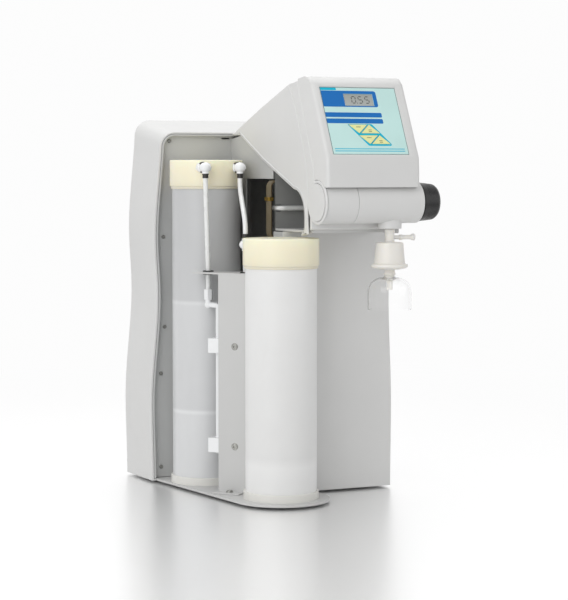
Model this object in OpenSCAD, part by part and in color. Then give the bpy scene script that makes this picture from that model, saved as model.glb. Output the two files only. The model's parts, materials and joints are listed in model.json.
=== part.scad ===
// Bench ultrapure water system, shown with its left service cover off.
// Millimetres. +X right, +Y back, +Z up. The origin is the middle of the footprint on the bench.

/* [Rear shell] */
// Widest width of the rear shell
shell_w = 292; // [286:1:300]
// Depth of the rear shell
shell_d = 88; // [80:1:100]
// Height of the rear shell at its back
shell_h = 496; // [486:1:500]
// Wall of the rear shell
shell_wall = 3; // [2:0.5:4]
// How much each side leans in from back to rim
side_draft = 4.5; // [2:0.5:7]
// How much the top falls from back to rim
top_draft = 18; // [12:1:24]
// Radius of the upper corners
corner_r = 22; // [14:1:30]

/* [Side wave] */
// Height of the widest point of the side
hip_z = 112; // [90:1:130]
// Height of the waist
waist_z = 265; // [230:1:290]
// Height of the upper swell
bulge_z = 346; // [330:1:370]
// Set-in at the foot
foot_in = 2; // [0:0.5:4]
// Set-in at the waist
waist_in = 9.8; // [5:0.2:13]
// Set-in at the upper swell
bulge_in = 6.3; // [4:0.1:9]
// Set-in at the top
top_in = 16; // [12:0.5:20]
// Share of the wave that the tower's right side has
tower_wave = 0.45; // [0:0.05:0.6]

/* [Chassis] */
// Depth of the tray panel behind the shell's rim
tray_recess = 7; // [5:0.5:12]
// Sheet of the tray
tray_t = 2; // [1.5:0.5:3]
// Width of the tray's rim lip
lip_w = 2.5; // [2:0.5:4]
// How far the lip stands out of the rim
lip_out = 1.2; // [0.5:0.1:2]
// Gap between the lip and the shell
lip_gap = 0.5; // [0.3:0.1:1]
// Width of the open service bay at the left
bay_w = 125; // [122:1:130]
// Sheet of the partition wall
partition_t = 2; // [1.5:0.5:3]
// How far the service window's upper edge is above the barrel's axis
window_rise = 29; // [20:1:34]
// How far its lower edge is below the barrel's axis
window_drop = 86; // [60:1:100]

/* [Tower] */
// Depth of the tower in front of the shell's rim
tower_d = 167; // [160:1:180]
// Width of the tower at its widest
tower_w = 161; // [158:1:166]
// Wall of the tower cover
tower_wall = 3; // [2:0.5:4]
// How far the inner wall stands behind the tower's front
inner_back = 33; // [20:1:45]

/* [Base] */
// Height of the rubber feet
foot_h = 3; // [2:0.5:6]
// Diameter of the rubber feet
foot_d = 18; // [12:1:24]
// Thickness of the base plate
plate_t = 3; // [2:0.5:4]
// Radius of the plate's lobe round the front cartridge
lobe_r = 63; // [58:1:66]

/* [Cartridges] */
// Diameter of a cartridge body
body_d = 92; // [84:1:94]
// Diameter of a cartridge cap
cap_d = 98; // [94:1:99]
// Height of a cap's wide band
cap_h = 32; // [26:1:36]
// Height of the narrower band under it
neck_h = 8; // [5:1:12]
// Wall of a cartridge body
body_wall = 3; // [2:0.5:4]
// How much higher the rear cartridge stands than the front one
rear_rise = 100; // [90:1:105]
// Gap between the front cartridge and the head's floor
front_gap = 7; // [6:1:14]
// Height of a locating ring
ring_h = 10; // [6:1:14]
// Wall of a locating ring
ring_wall = 2.5; // [2:0.5:3]

/* [Head] */
// Width of the head
head_w = 131; // [126:1:138]
// How far the head reaches in front of the tower
head_reach = 135; // [130:1:145]
// Height of the head's top
head_h = 545; // [535:1:560]
// Wall of the head and neck mouldings
head_wall = 3; // [2:0.5:3.5]
// Radius of the head's upright edges
head_edge_r = 5; // [3:1:8]
// Width of the neck
neck_w = 131; // [126:1:138]
// How far the head's underside is below the barrel's axis
floor_drop = 39; // [36:1:42]
// Sheet of the head's floor
floor_t = 3; // [2:0.5:4]

/* [Display] */
// Width of the display recess
display_w = 107; // [100:1:112]
// Height of the display recess along the face
display_h = 95; // [88:1:96]
// Depth of the display recess
display_in = 1.6; // [1.2:0.1:2]
// Distance of the recess from the head's left side
display_left = 10; // [9:0.5:14]
// Thickness of the printed overlay
overlay_t = 0.8; // [0.5:0.1:1]
// Width of one membrane key
key_w = 26; // [22:1:28]
// Height of one membrane key
key_h = 12; // [10:0.5:13]
// Travel of one membrane key
key_travel = 0.6; // [0.3:0.1:0.8]
// Clear gap round a key
key_gap = 0.4; // [0.3:0.1:0.6]

/* [Barrel and knob] */
// Diameter of the valve barrel
barrel_d = 54; // [50:1:56]
// How far the barrel's axis is below the head's top
barrel_drop = 159; // [156:1:165]
// Wall of the barrel
barrel_wall = 3; // [2:0.5:4]
// How far the barrel stands out of the head's right side
barrel_out = 8.5; // [4:0.5:12]
// Length of the left barrel cover
cover_l = 46; // [38:1:52]
// Diameter of the round end cap
end_d = 47; // [40:1:48]
// Diameter of the knob at its widest
knob_d = 51; // [46:1:54]
// Length of the knob
knob_l = 25; // [22:1:32]
// Gap between the barrel and the knob
knob_gap = 1; // [0.6:0.1:1.5]
// Diameter of the valve spindle
spindle_d = 8; // [6:0.5:10]

/* [Outlet] */
// Distance of the outlet from the head's left side
outlet_x = 103; // [95:1:108]
// Diameter of the collar under the barrel
collar_d = 40; // [34:1:42]
// How far the collar's lower face is below the barrel's axis
collar_drop = 34; // [32:1:36]
// Diameter of the outlet spigot
spigot_d = 6.4; // [5:0.2:8]
// Length of the spigot inside the filter
spigot_l = 12; // [8:1:14]
// Diameter of the filter capsule
capsule_d = 37; // [32:1:42]
// Diameter of the clear bell
bell_d = 56; // [50:1:58]
// Height of the clear bell
bell_h = 41; // [34:1:46]
// Wall of the clear bell
bell_wall = 1.5; // [1.2:0.1:2]

/* [Bracket and tubes] */
// How far the bracket's shelf is below the front cartridge's top
shelf_drop = 47; // [43:1:52]
// Sheet of the bracket
bracket_t = 2; // [1.5:0.5:2.5]
// Outer diameter of the water tubes
tube_d = 6.4; // [5:0.2:7]
// Bore of the water tubes
tube_bore = 4; // [3:0.2:4.2]
// Distance between the two ports of a cap
port_pitch = 49.4; // [44:0.2:52]
// Diameter of an elbow's ball
ball_d = 14; // [12:0.5:15]
// How far a ball stands out of the cap
port_out = 15; // [13:0.5:18]
// Height of a port below its cap's top
port_drop = 10; // [8:0.5:14]

/* [Rear connections] */
// Width of the recessed connection plate
conn_w = 120; // [110:1:130]
// Height of the recessed connection plate
conn_h = 80; // [72:1:90]
// Depth of its recess
conn_in = 22; // [18:1:26]
// Diameter of the tube that a port takes
port_tube_d = 8; // [6:1:10]
// Length of a port's bore
port_bore_l = 14; // [10:1:16]

/* [Hidden] */
$fn = 64;
eps = 0.01;
fit = 0.3;      // usual clearance between two pieces
snug = 0.05;    // clearance of a running fit

overall_w = max(shell_w, bay_w + head_w + barrel_out + knob_gap + knob_l);
overall_d = shell_d + tower_d + head_reach;
left_x = -overall_w / 2;
back_y = overall_d / 2;

// x of a distance to the right of the shell's widest left point, y of a distance in front of its back
function rt(d) = left_x + d;
function fw(d) = back_y - d;
function mix(a, b, t) = a + (b - a) * t;
function smooth(t) = t * t * (3 - 2 * t);
function stretch(a, b, list) = [for (p = list) [mix(a[0], b[0], p[0]), mix(a[1], b[1], p[1])]];

// stations
rim_f = shell_d;                         // the shell's rim
tower_f = shell_d + tower_d;             // the tower's front
front_f = overall_d;                     // the head's front
panel_f = rim_f - tray_recess;           // front face of the tray's panel
inner_f = tower_f - inner_back;          // front face of the inner wall
barrel_f = front_f - 30;                 // the barrel's axis
rim_z = shell_h - top_draft;             // top of the rim
barrel_z = head_h - barrel_drop;         // the barrel's axis
floor_z = barrel_z - floor_drop;         // underside of the head
collar_z = barrel_z - collar_drop;       // lower face of the collar
window_low = barrel_z - window_drop;     // lower edge of the service window
front_top = floor_z - front_gap;         // top of the front cartridge
rear_top = front_top + rear_rise;        // top of the rear cartridge
shelf_z = front_top - shelf_drop;        // top face of the bracket's shelf
deck_z = foot_h + plate_t;               // top of the base plate
mid_d = shell_w / 2;                     // middle of the shell
part_d = bay_w + 2;                      // left face of the partition
head_l = bay_w;                          // left side of the head
head_r = bay_w + head_w;                 // right side of the head
neck_r = bay_w + neck_w;                 // right side of the neck
tower_r = bay_w + tower_w;               // right side of the tower at its widest
display_l = head_l + display_left;
rear_c = [69, panel_f + cap_d / 2 + 2];  // rear cartridge, as distances right and forward
front_c = [103, front_f - 90];           // front cartridge
barrel_r = head_r + barrel_out;           // right end of the barrel
knob_r = barrel_r + knob_gap;
// right limit of what lies inside both the neck and the tower
inside_r = min(neck_r - head_wall, tower_r - tower_wave * top_in - tower_wall);

// ---- wave of the sides ----

wave_knots = [[0, foot_in], [hip_z, 0], [waist_z, waist_in], [bulge_z, bulge_in], [shell_h, top_in]];
function wave_step(z, i) =
  let (a = wave_knots[i], b = wave_knots[i + 1])
  mix(a[1], b[1], smooth(min(1, max(0, (z - a[0]) / (b[0] - a[0])))));
function wave(z) =
  z < hip_z ? wave_step(z, 0) : z < waist_z ? wave_step(z, 1)
  : z < bulge_z ? wave_step(z, 2) : wave_step(z, 3);

side_steps = 22;
corner_steps = 7;

// half outline of the shell from the foot to the top, set in by t; kx and kz shrink it towards the rim
function half_outline(t, low, kx, kz) =
  let (zc = shell_h - corner_r, xc = shell_w / 2 - wave(zc) - corner_r, r = corner_r - t)
  concat(
    [for (i = [0:side_steps]) let (z = mix(low, zc, i / side_steps))
      [(shell_w / 2 - wave(z) - t) * kx, z * kz]],
    [for (i = [1:corner_steps]) let (a = 90 * i / corner_steps)
      [(xc + r * cos(a)) * kx, (zc + r * sin(a)) * kz]]
  );
function full_outline(t, low, kx, kz) =
  let (h = half_outline(t, low, kx, kz))
  concat(h, [for (i = [len(h) - 1:-1:0]) [-h[i][0], h[i][1]]]);

rim_kx = 1 - side_draft / (shell_w / 2);
rim_kz = rim_z / shell_h;
// the cavity starts one wall in front of the back, so at the rim it has shrunk a little less
cavity_kx = 1 - (1 - rim_kx) * (shell_d - shell_wall) / shell_d;
cavity_kz = 1 - (1 - rim_kz) * (shell_d - shell_wall) / shell_d;

// ---- small tools ----

// an outline in (y, z) extruded to the right from the distance d
module along_x(d, len) {
  translate([rt(d), 0, 0])
    rotate([90, 0, 90])
      linear_extrude(len)
        children();
}

// an outline in (x, z) extruded forward from the distance d in front of the back
module along_y(d, len) {
  translate([0, fw(d), 0])
    rotate([90, 0, 0])
      linear_extrude(len)
        children();
}

// a block between two corners, each [right, forward, up]
module block(a, b) {
  translate([rt(a[0]), fw(b[1]), a[2]])
    cube([b[0] - a[0], b[1] - a[1], b[2] - a[2]]);
}

// places children at [right, forward, up]
module at(p) {
  translate([rt(p[0]), fw(p[1]), p[2]])
    children();
}

// turns an upright child to point right, forward or back
module to_right() { rotate([0, 90, 0]) children(); }
module to_front() { rotate([90, 0, 0]) children(); }
module to_back() { rotate([-90, 0, 0]) children(); }

// a list of [forward, up] points as [y, z]
function side_points(list) = [for (p = list) [fw(p[0]), p[1]]];

// a hollow tube standing on z = 0
module pipe(h, d, bore) {
  difference() {
    cylinder(h = h, d = d, $fn = 32);
    translate([0, 0, -eps])
      cylinder(h = h + 2 * eps, d = bore, $fn = 32);
  }
}

// a pan-head screw whose head rests on z = 0 and whose shank goes down
module pan_screw(d, head_d, head_h, len) {
  difference() {
    union() {
      cylinder(h = head_h, d1 = head_d, d2 = head_d * 0.8, $fn = 32);
      translate([0, 0, -len])
        cylinder(h = len + eps, d = d, $fn = 24);
    }
    for (a = [0, 90])
      rotate([0, 0, a])
        translate([-head_d * 0.3, -0.5, head_h * 0.4])
          cube([head_d * 0.6, 1, head_h]);
  }
}

// ---- shell, tray and base ----

module shell_form(t, from, low) {
  translate([rt(mid_d), fw(from), 0])
    rotate([90, 0, 0])
      linear_extrude(shell_d, scale = [rim_kx, rim_kz], slices = 1)
        polygon(full_outline(t, low, 1, 1));
}

conn_l = 150;            // left side of the connection recess
conn_z = foot_h + 25;    // its lower side

module rear_shell() {
  color("gainsboro")
    difference() {
      shell_form(0, 0, foot_h / rim_kz);
      shell_form(shell_wall, shell_wall, foot_h + shell_wall);
      block([conn_l, -1, conn_z], [conn_l + conn_w, shell_wall + 1, conn_z + conn_h]);
    }
}

tray_low = deck_z + lip_gap;
function tray_outline(t) =
  full_outline(shell_wall + lip_gap + t, tray_low / cavity_kz, cavity_kx, cavity_kz);

// screws along the tray's left edge and top, as [right, up]
tray_holes = [
  for (s = [-1, 1], z = [tray_low + 14, 149, 213, 336, rim_z - 12])
    let (edge = (shell_w / 2 - wave(z / cavity_kz)) * cavity_kx - shell_wall - 13)
      [mid_d + s * edge, z]
];
tray_hole_d = 3.4;
slot_w = 12;
slot_h = 2;

module tray_cuts() {
  for (h = tray_holes)
    at([h[0], panel_f + 1, h[1]])
      to_back()
        cylinder(h = tray_t + 2, d = tray_hole_d, $fn = 24);
  // vent slot beside the partition, and the way through to the tower
  block([part_d - slot_w - 2, panel_f - tray_t - 1, rim_z - 9],
        [part_d - 2, panel_f + 1, rim_z - 9 + slot_h]);
  block([part_d + 30, panel_f - tray_t - 1, 260], [tower_r - 30, panel_f + 1, 420]);
}

module chassis_tray() {
  color("silver")
    difference() {
      translate([rt(mid_d), 0, 0])
        along_y(panel_f - tray_t, tray_recess + tray_t + lip_out)
          polygon(tray_outline(0));
      translate([rt(mid_d), 0, 0])
        along_y(panel_f, tray_recess + lip_out + 1)
          polygon(tray_outline(lip_w));
      // the lip stops at the foot, where the base plate runs in
      block([lip_w + 10, panel_f, 0], [shell_w - lip_w - 10, rim_f + 5, tray_low + 1]);
      tray_cuts();
    }
}

module tray_screws() {
  color("dimgray")
    for (h = tray_holes)
      at([h[0], panel_f, h[1]])
        to_front()
          pan_screw(3, 5.6, 1.8, 6);
}

lobe_tangent = 12;   // where the plate's left edge starts, right of the shell's left

module plate_outline() {
  // the lobe, and the straight run back to the rim
  hull() {
    translate([rt(front_c[0]), fw(front_c[1])])
      circle(r = lobe_r, $fn = 96);
    polygon([
      [rt(lobe_tangent), fw(rim_f + lip_out + fit)],
      [rt(part_d + 10), fw(rim_f + lip_out + fit)],
      [rt(lobe_tangent + 13), fw(rim_f + 90)]
    ]);
  }
  // the floor of the tower
  translate([rt(part_d), fw(tower_f - tower_wall - fit)])
    square([tower_w - 14, tower_d - tower_wall - lip_out - 2 * fit]);
}

module base_plate() {
  color("whitesmoke")
    difference() {
      translate([0, 0, foot_h])
        linear_extrude(plate_t)
          plate_outline();
      // slot for the tab of the tower cover's front
      block([part_d - 1, tower_f - tower_wall - fit, 0], [tower_r + 10, tower_f + fit, deck_z + 1]);
      // hole of the bracket's foot screw
      plate_frame()
        translate([plate_l / 2, -tab_l / 2, foot_h - 1])
          cylinder(h = plate_t + 2, d = 4.1, $fn = 24);
    }
}

foot_spots = [
  [40, 30], [shell_w - 40, 30], [front_c[0], front_c[1] + 20], [tower_r - 40, tower_f - 40]
];

module rubber_feet() {
  color([0.15, 0.15, 0.15])
    for (p = foot_spots)
      at([p[0], p[1], 0])
        cylinder(h = foot_h, d = foot_d, $fn = 48);
}

// ---- partition, inner wall and tower ----

// the ridge is the neck's lower edge on the left: from the rim down to the notch over the arch
notch = [barrel_f - 68, barrel_z + 16];
ridge = stretch([rim_f, rim_z], notch, [[0.142, 0.053], [0.505, 0.5], [0.828, 0.829], [1, 1]]);
seam_top = [front_f - 116, head_h - 8];
neck_top = stretch([rim_f + 8, rim_z], seam_top, [[0, 0], [0.5, 0.52], [1, 1]]);
neck_back = rim_f + lip_out + fit;
roof = head_wall * 1.1;      // the mouldings' wall measured upright on the sloping top

function ridge_z(f) =
  mix(ridge[1][1], ridge[2][1], (f - ridge[1][0]) / (ridge[2][0] - ridge[1][0]));
window_top = min(barrel_z + window_rise, ridge_z(inner_f) - 8);

module partition_wall() {
  color("lightgray")
    difference() {
      along_x(part_d, partition_t)
        polygon(side_points(concat(
          [[panel_f + fit, deck_z], [tower_f - tower_wall - fit, deck_z],
           [tower_f - tower_wall - fit, floor_z - 1], [inner_f - 1, floor_z - 1],
           [inner_f - 1, ridge_z(inner_f - 1) - fit]],
          [for (i = [1, 0]) ridge[i] - [0, fit]],
          [[neck_back, rim_z - 8], [panel_f + fit, rim_z - 8]]
        )));
      // service window, open towards the front
      block([part_d - 1, rim_f + 45, window_low], [part_d + partition_t + 1, inner_f + 1, window_top]);
    }
}

inner_low = window_low - 5;

module inner_wall() {
  color("darkgray")
    difference() {
      block([head_l + head_wall + 2 + fit, inner_f - partition_t, inner_low],
            [inside_r - 1, inner_f, seam_top[1] - 38]);
      // hole for the wiring loom into the head
      at([head_r - 40, inner_f + 1, barrel_z + 50])
        to_back()
          cylinder(h = partition_t + 2, d = 16, $fn = 32);
      // and of the product tube
      at([product_from, inner_f + 1, product_z])
        to_back()
          cylinder(h = partition_t + 2, d = tube_d + 4, $fn = 32);
    }
}

function tower_edge(z) = tower_r - tower_wave * wave(z);
function tower_strip(low, high, t) = concat(
  [for (i = [0:side_steps]) let (z = mix(low, high, i / side_steps)) [rt(tower_edge(z)), z]],
  [for (i = [side_steps:-1:0]) let (z = mix(low, high, i / side_steps)) [rt(tower_edge(z) - t), z]]
);
tower_top = floor_z - fit;
lap = 6;      // how far the tower's right wall laps over the neck
// upper edge of the right wall, from the tower's front to the shell, as [forward, up]
tower_crest = [
  [tower_f, mix(ridge[1][1], ridge[2][1], 0.97) + lap], [ridge[1][0], ridge[1][1] + lap],
  [ridge[0][0], ridge[0][1] + 1], [neck_back, rim_z - 4]
];

module tower_cover() {
  color("gainsboro")
    difference() {
      union() {
        tower_walls();
        tower_shoulder();
      }
      // hole of the front cartridge's outlet tube
      at([outlet_ball[0], tower_f + 1, pass_z])
        to_back()
          cylinder(h = tower_wall + 2, d = tube_d + 4.6, $fn = 32);
    }
}

module tower_walls() {
  along_y(tower_f - tower_wall, tower_wall)
    polygon(concat(
      [[rt(part_d), foot_h]],
      [for (i = [0:side_steps]) let (z = mix(foot_h, tower_top, i / side_steps)) [rt(tower_edge(z)), z]],
      [[rt(part_d), tower_top]]
    ));
  intersection() {
    along_y(neck_back, tower_f - neck_back)
      polygon(tower_strip(foot_h, rim_z + 5, tower_wall));
    along_x(part_d + tower_w / 2, tower_w)
      polygon(side_points(concat([[neck_back, foot_h], [tower_f, foot_h]], tower_crest)));
  }
}

// closes the tower between the neck's right side and the right wall
module tower_shoulder() {
  crest_z = tower_crest[0][1];
  along_y(tower_f - tower_wall, tower_wall)
    polygon(concat(
      [[rt(neck_r + fit), crest_z], [rt(neck_r + fit), tower_top - 1]],
      [for (i = [0:side_steps]) let (z = mix(tower_top - 1, crest_z, i / side_steps)) [rt(tower_edge(z)), z]]
    ));
  intersection() {
    along_y(neck_back, tower_f - neck_back)
      polygon(concat(
        [[rt(neck_r + fit), rim_z + 5], [rt(neck_r + fit), tower_top]],
        [for (i = [0:side_steps]) let (z = mix(tower_top, rim_z + 5, i / side_steps)) [rt(tower_edge(z)), z]]
      ));
    along_x(neck_r, tower_w)
      polygon(side_points(concat(
        tower_crest, [for (i = [3:-1:0]) tower_crest[i] - [0, roof]]
      )));
  }
}

// ---- neck and head ----

ring_r = barrel_d / 2 + 1;               // rim round the left end cap
ring_f = barrel_f - ring_r;
seam_rise = seam_top[1] - barrel_z;
seam_run = ring_f - seam_top[0];
// the seam between neck and head, and the one between frame and front, from top to bottom
seam_1 = [for (p = [[1, 1], [0.97, 0.92], [0.79, 0.63], [0.58, 0.36], [0.27, 0.035], [0.1, 0]])
  [ring_f - seam_run * p[1], barrel_z + seam_rise * p[0]]];
seam_2_top = [seam_top[0] + 28, head_h - 4.5];
seam_2_low = [barrel_f - 8, barrel_z + ring_r - 3];
seam_2 = stretch(seam_2_top, seam_2_low, [[0, 0], [0.09, 0.12], [0.93, 0.84], [1, 1]]);
foot_1 = [ring_f + 1, floor_z - 2];      // forward end of the arch's foot
arch_rx = ring_f - 9 - notch[0];
arch_rz = 32;
arch = [for (a = [90:-15:0]) [notch[0] + arch_rx * cos(a), notch[1] - arch_rz + arch_rz * sin(a)]];
arch_low = [[ring_f - 9, floor_z + 7], [ring_f - 12, floor_z + 2], [ring_f - 18, floor_z - 2]];

neck_left = concat(
  [[neck_back, rim_z - 4]], neck_top, [for (i = [1:5]) seam_1[i]],
  [[ring_f - 1, barrel_z - 12], foot_1],
  [for (i = [2:-1:0]) arch_low[i]], [for (i = [6:-1:0]) arch[i]],
  [for (i = [2:-1:0]) ridge[i]]
);
neck_right = concat(
  [[neck_back, rim_z - 4]], neck_top, [for (i = [1:5]) seam_1[i]],
  [[ring_f - 1, barrel_z - 12], foot_1, [tower_f + fit, foot_1[1]], [tower_f + fit, ridge[2][1]]],
  [for (i = [1:-1:0]) ridge[i]]
);
bead_w = 3.5;
bead_out = 0.8;
// the bead follows the left face's lower edge and stands a little out of it
bead_line = concat(ridge, [for (i = [1:6]) arch[i]], [arch_low[0], arch_low[1], arch_low[2]]);

module neck_cover() {
  color("gainsboro")
    union() {
      along_x(head_l, head_wall)
        polygon(side_points(neck_left));
      along_x(neck_r - head_wall, head_wall)
        polygon(side_points(neck_right));
      along_x(head_l, neck_w)
        polygon(side_points(concat(
          [neck_back_top()], neck_top,
          [for (i = [2:-1:0]) [neck_top[i][0], neck_top[i][1] - roof]], [[neck_back, rim_z - 4]]
        )));
      along_x(head_l - bead_out, bead_out + head_wall + 2)
        polygon(side_points(concat(
          bead_line, [for (i = [len(bead_line) - 1:-1:0]) bead_line[i] + bead_w * bead_side(i)]
        )));
    }
}
function neck_back_top() = [neck_back, rim_z - 1];
// the direction into the moulding at a point of the bead's line
function bead_side(i) =
  let (a = bead_line[max(0, i - 1)], b = bead_line[min(len(bead_line) - 1, i + 1)], d = b - a)
  [-d[1], d[0]] / norm(d);

// the side outline between the two seams
module band() {
  polygon(side_points(concat(
    seam_1,
    [[ring_f, barrel_z], [barrel_f - 4, barrel_z], [seam_2_low[0], barrel_z + 12]],
    [for (i = [3:-1:0]) seam_2[i]]
  )));
}

module head_frame() {
  color("gainsboro")
    difference() {
      union() {
        along_x(head_l, head_wall)
          band();
        along_x(head_r - head_wall, head_wall)
          band();
        along_x(head_l, head_w)
          polygon(side_points([
            seam_1[0], seam_2[0], seam_2[0] - [-1, roof + 1], seam_1[1] + [0.5, 0]
          ]));
        // rim round the end cap
        at([head_l, barrel_f, barrel_z])
          to_right()
            cylinder(h = head_wall, r = ring_r);
      }
      at([head_l - 1, barrel_f, barrel_z])
        to_right()
          cylinder(h = head_wall + 2, d = end_d + 2 * fit);
      at([head_l + head_wall, barrel_f, barrel_z])
        to_right()
          cylinder(h = head_w, d = barrel_d + 2 * fit);
    }
}

// the front face is flat where the display is and rounds off below it
face_top = [front_f - 46.7, head_h - 9.5];
face_low = [front_f - 1.2, head_h - 102.6];
face_len = norm(face_low - face_top);
face_dir = (face_low - face_top) / face_len;
face_out = [-face_dir[1], face_dir[0]];
face_lean = atan2(face_dir[0], -face_dir[1]);
face_margin = (face_len - display_h) / 2;
front_low_z = barrel_z + 19;

function front_profile(t, set_back) = concat(
  [[seam_2[0][0] - 40, front_low_z + t], [seam_2[0][0] - 40, head_h - 6 - t],
   [seam_2[0][0], seam_2[0][1] - t], [seam_2[0][0] + 20 - set_back * 0.3, head_h - t],
   [seam_2[0][0] + 32 - set_back, head_h - 1.5 - t]],
  [face_top - face_out * t - [set_back, 0], face_low - face_out * t - [set_back, 0],
   [front_f - t - set_back, front_low_z + 20], [front_f - t - set_back, front_low_z + t]]
);
edge_steps = 5;
// the head's front as slices, each set back a little more towards the sides
module front_form(t) {
  hull()
    for (s = [0, 1], i = [0:edge_steps])
      let (a = 90 * i / edge_steps, r = head_edge_r,
           in = r * (1 - sin(a)) + t, back = r * (1 - cos(a)))
      along_x(s == 0 ? head_l + r - r * sin(a) + t : head_r - r + r * sin(a) - t - eps, eps)
        polygon(side_points(front_profile(t, back)));
}

// the display's frame: x right, y up the face, z out of it, from the recess's upper left corner
module on_face() {
  p = face_top + face_dir * face_margin;
  translate([rt(display_l), fw(p[0]), p[1]])
    rotate([90 - face_lean, 0, 0])
      children();
}

lcd_w = 40;
lcd_h = 16;
lcd_at = [32, -26];
// upper left corner of the key field, and each key as [column, row, points up]
key_field = [30, -53];
key_row = 15;
key_shift = 12;
key_up = key_w / 2 + 2.6;
key_list = [[0, 0, false], [0, 0, true], [1, 1, false], [1, 1, true]];

module key_shape(k, grow) {
  x0 = key_field[0] + key_shift * k[0] + (k[2] ? key_up : 0);
  y0 = key_field[1] - key_row * k[1];
  offset(delta = grow)
    translate([x0, y0])
      polygon(k[2] ? [[0, -key_h], [key_w, -key_h], [key_w / 2, 0]]
                   : [[0, 0], [key_w, 0], [key_w / 2, -key_h]]);
}

module key_prism(k, grow, from, high) {
  translate([0, 0, from])
    linear_extrude(high)
      key_shape(k, grow);
}

module head_front() {
  color("gainsboro")
    difference() {
      front_form(0);
      front_form(head_wall);
      // everything behind the second seam belongs to the frame
      along_x(head_l - 1, head_w + 2)
        polygon(side_points(concat(
          [[seam_2[0][0] - 60, head_h + 20], [seam_2[0][0] + fit, head_h + 20]],
          [for (p = seam_2) p + [fit, 0]],
          [[seam_2_low[0] + fit, barrel_z], [seam_2[0][0] - 60, barrel_z]]
        )));
      at([head_l - 1, barrel_f, barrel_z])
        to_right()
          cylinder(h = head_w + 2, r = ring_r + fit);
      on_face() {
        translate([0, -display_h, -display_in])
          cube([display_w, display_h, 10]);
        translate([lcd_at[0] - fit, lcd_at[1] - fit, -head_wall - 1])
          cube([lcd_w + 2 * fit, lcd_h + 2 * fit, 10]);
        for (k = key_list)
          key_prism(k, key_gap, -head_wall - 2, 10);
      }
    }
}

module display_overlay() {
  color("paleturquoise")
    on_face()
      difference() {
        translate([fit, fit - display_h, -display_in])
          cube([display_w - 2 * fit, display_h - 2 * fit, overlay_t]);
        translate([lcd_at[0] - fit, lcd_at[1] - fit, -head_wall])
          cube([lcd_w + 2 * fit, lcd_h + 2 * fit, 10]);
        for (k = key_list)
          key_prism(k, key_gap, -head_wall, 10);
      }
}

board_top = -head_wall - fit - key_travel / 2;

module lcd_module() {
  color("darkseagreen")
    on_face()
      translate([lcd_at[0], lcd_at[1], board_top])
        cube([lcd_w, lcd_h, overlay_t - display_in - board_top - 0.2]);
}

board_t = 1.6;

module display_board() {
  color("seagreen")
    on_face() {
      translate([4, 4 - display_h, board_top - board_t])
        cube([display_w - 8, display_h - 8, board_t]);
      // controller chips
      for (x = [14, 40, 66])
        translate([x, -display_h + 12, board_top - board_t - 2])
          cube([16, 10, 2]);
    }
}

key_proud = 0.3;
module key(i) {
  color("khaki")
    on_face()
      key_prism(key_list[i], 0, -head_wall + 0.1, head_wall - display_in + overlay_t + key_proud - 0.1);
}
module key_1() { key(0); }
module key_2() { key(1); }
module key_3() { key(2); }
module key_4() { key(3); }

floor_front = barrel_f - 22;

module head_floor() {
  color("whitesmoke")
    union() {
      block([head_l + head_wall + fit + 2, inner_f + fit, floor_z],
            [inside_r - fit, floor_front, floor_z + floor_t]);
      block([head_l + head_wall + fit + 2, floor_front - 2, floor_z],
            [inside_r - fit, floor_front, floor_z + floor_t + 4]);
    }
}

// ---- barrel, valve, knob ----

cover_gap = 0.4;
outlet_d = head_l + outlet_x;

module barrel_tube(from, len) {
  at([from, barrel_f, barrel_z])
    to_right()
      difference() {
        cylinder(h = len, d = barrel_d);
        translate([0, 0, -1])
          cylinder(h = len + 2, d = barrel_d - 2 * barrel_wall);
      }
}

module barrel_cover() {
  color("gainsboro")
    barrel_tube(head_l + head_wall + fit, cover_l - head_wall - fit);
}

module barrel_end_cap() {
  color("gainsboro")
    at([head_l - 0.6, barrel_f, barrel_z])
      to_right() {
        cylinder(h = head_wall + 0.6, d = end_d);
        translate([0, 0, head_wall + 0.6])
          cylinder(h = 4, d = barrel_d - 2 * barrel_wall - 0.2);
      }
}

boss_d = 13;
valve_from = outlet_d - 30;

module barrel_body() {
  color("gainsboro")
    difference() {
      union() {
        barrel_tube(head_l + cover_l + cover_gap, barrel_r - head_l - cover_l - cover_gap);
        at([barrel_r - barrel_wall, barrel_f, barrel_z])
          to_right()
            cylinder(h = barrel_wall, d = barrel_d - 1);
      }
      at([barrel_r - barrel_wall - 1, barrel_f, barrel_z])
        to_right()
          cylinder(h = barrel_wall + 2, d = spindle_d + 2);
      at([outlet_d, barrel_f, barrel_z - barrel_d])
        cylinder(h = barrel_d - 5, d = boss_d + 2 * fit);
      // hole of the product tube
      at([product_to, barrel_f - barrel_d, product_z])
        to_front()
          cylinder(h = barrel_d - 5, d = tube_d + 2, $fn = 32);
    }
}

spindle_in = 18;

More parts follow.
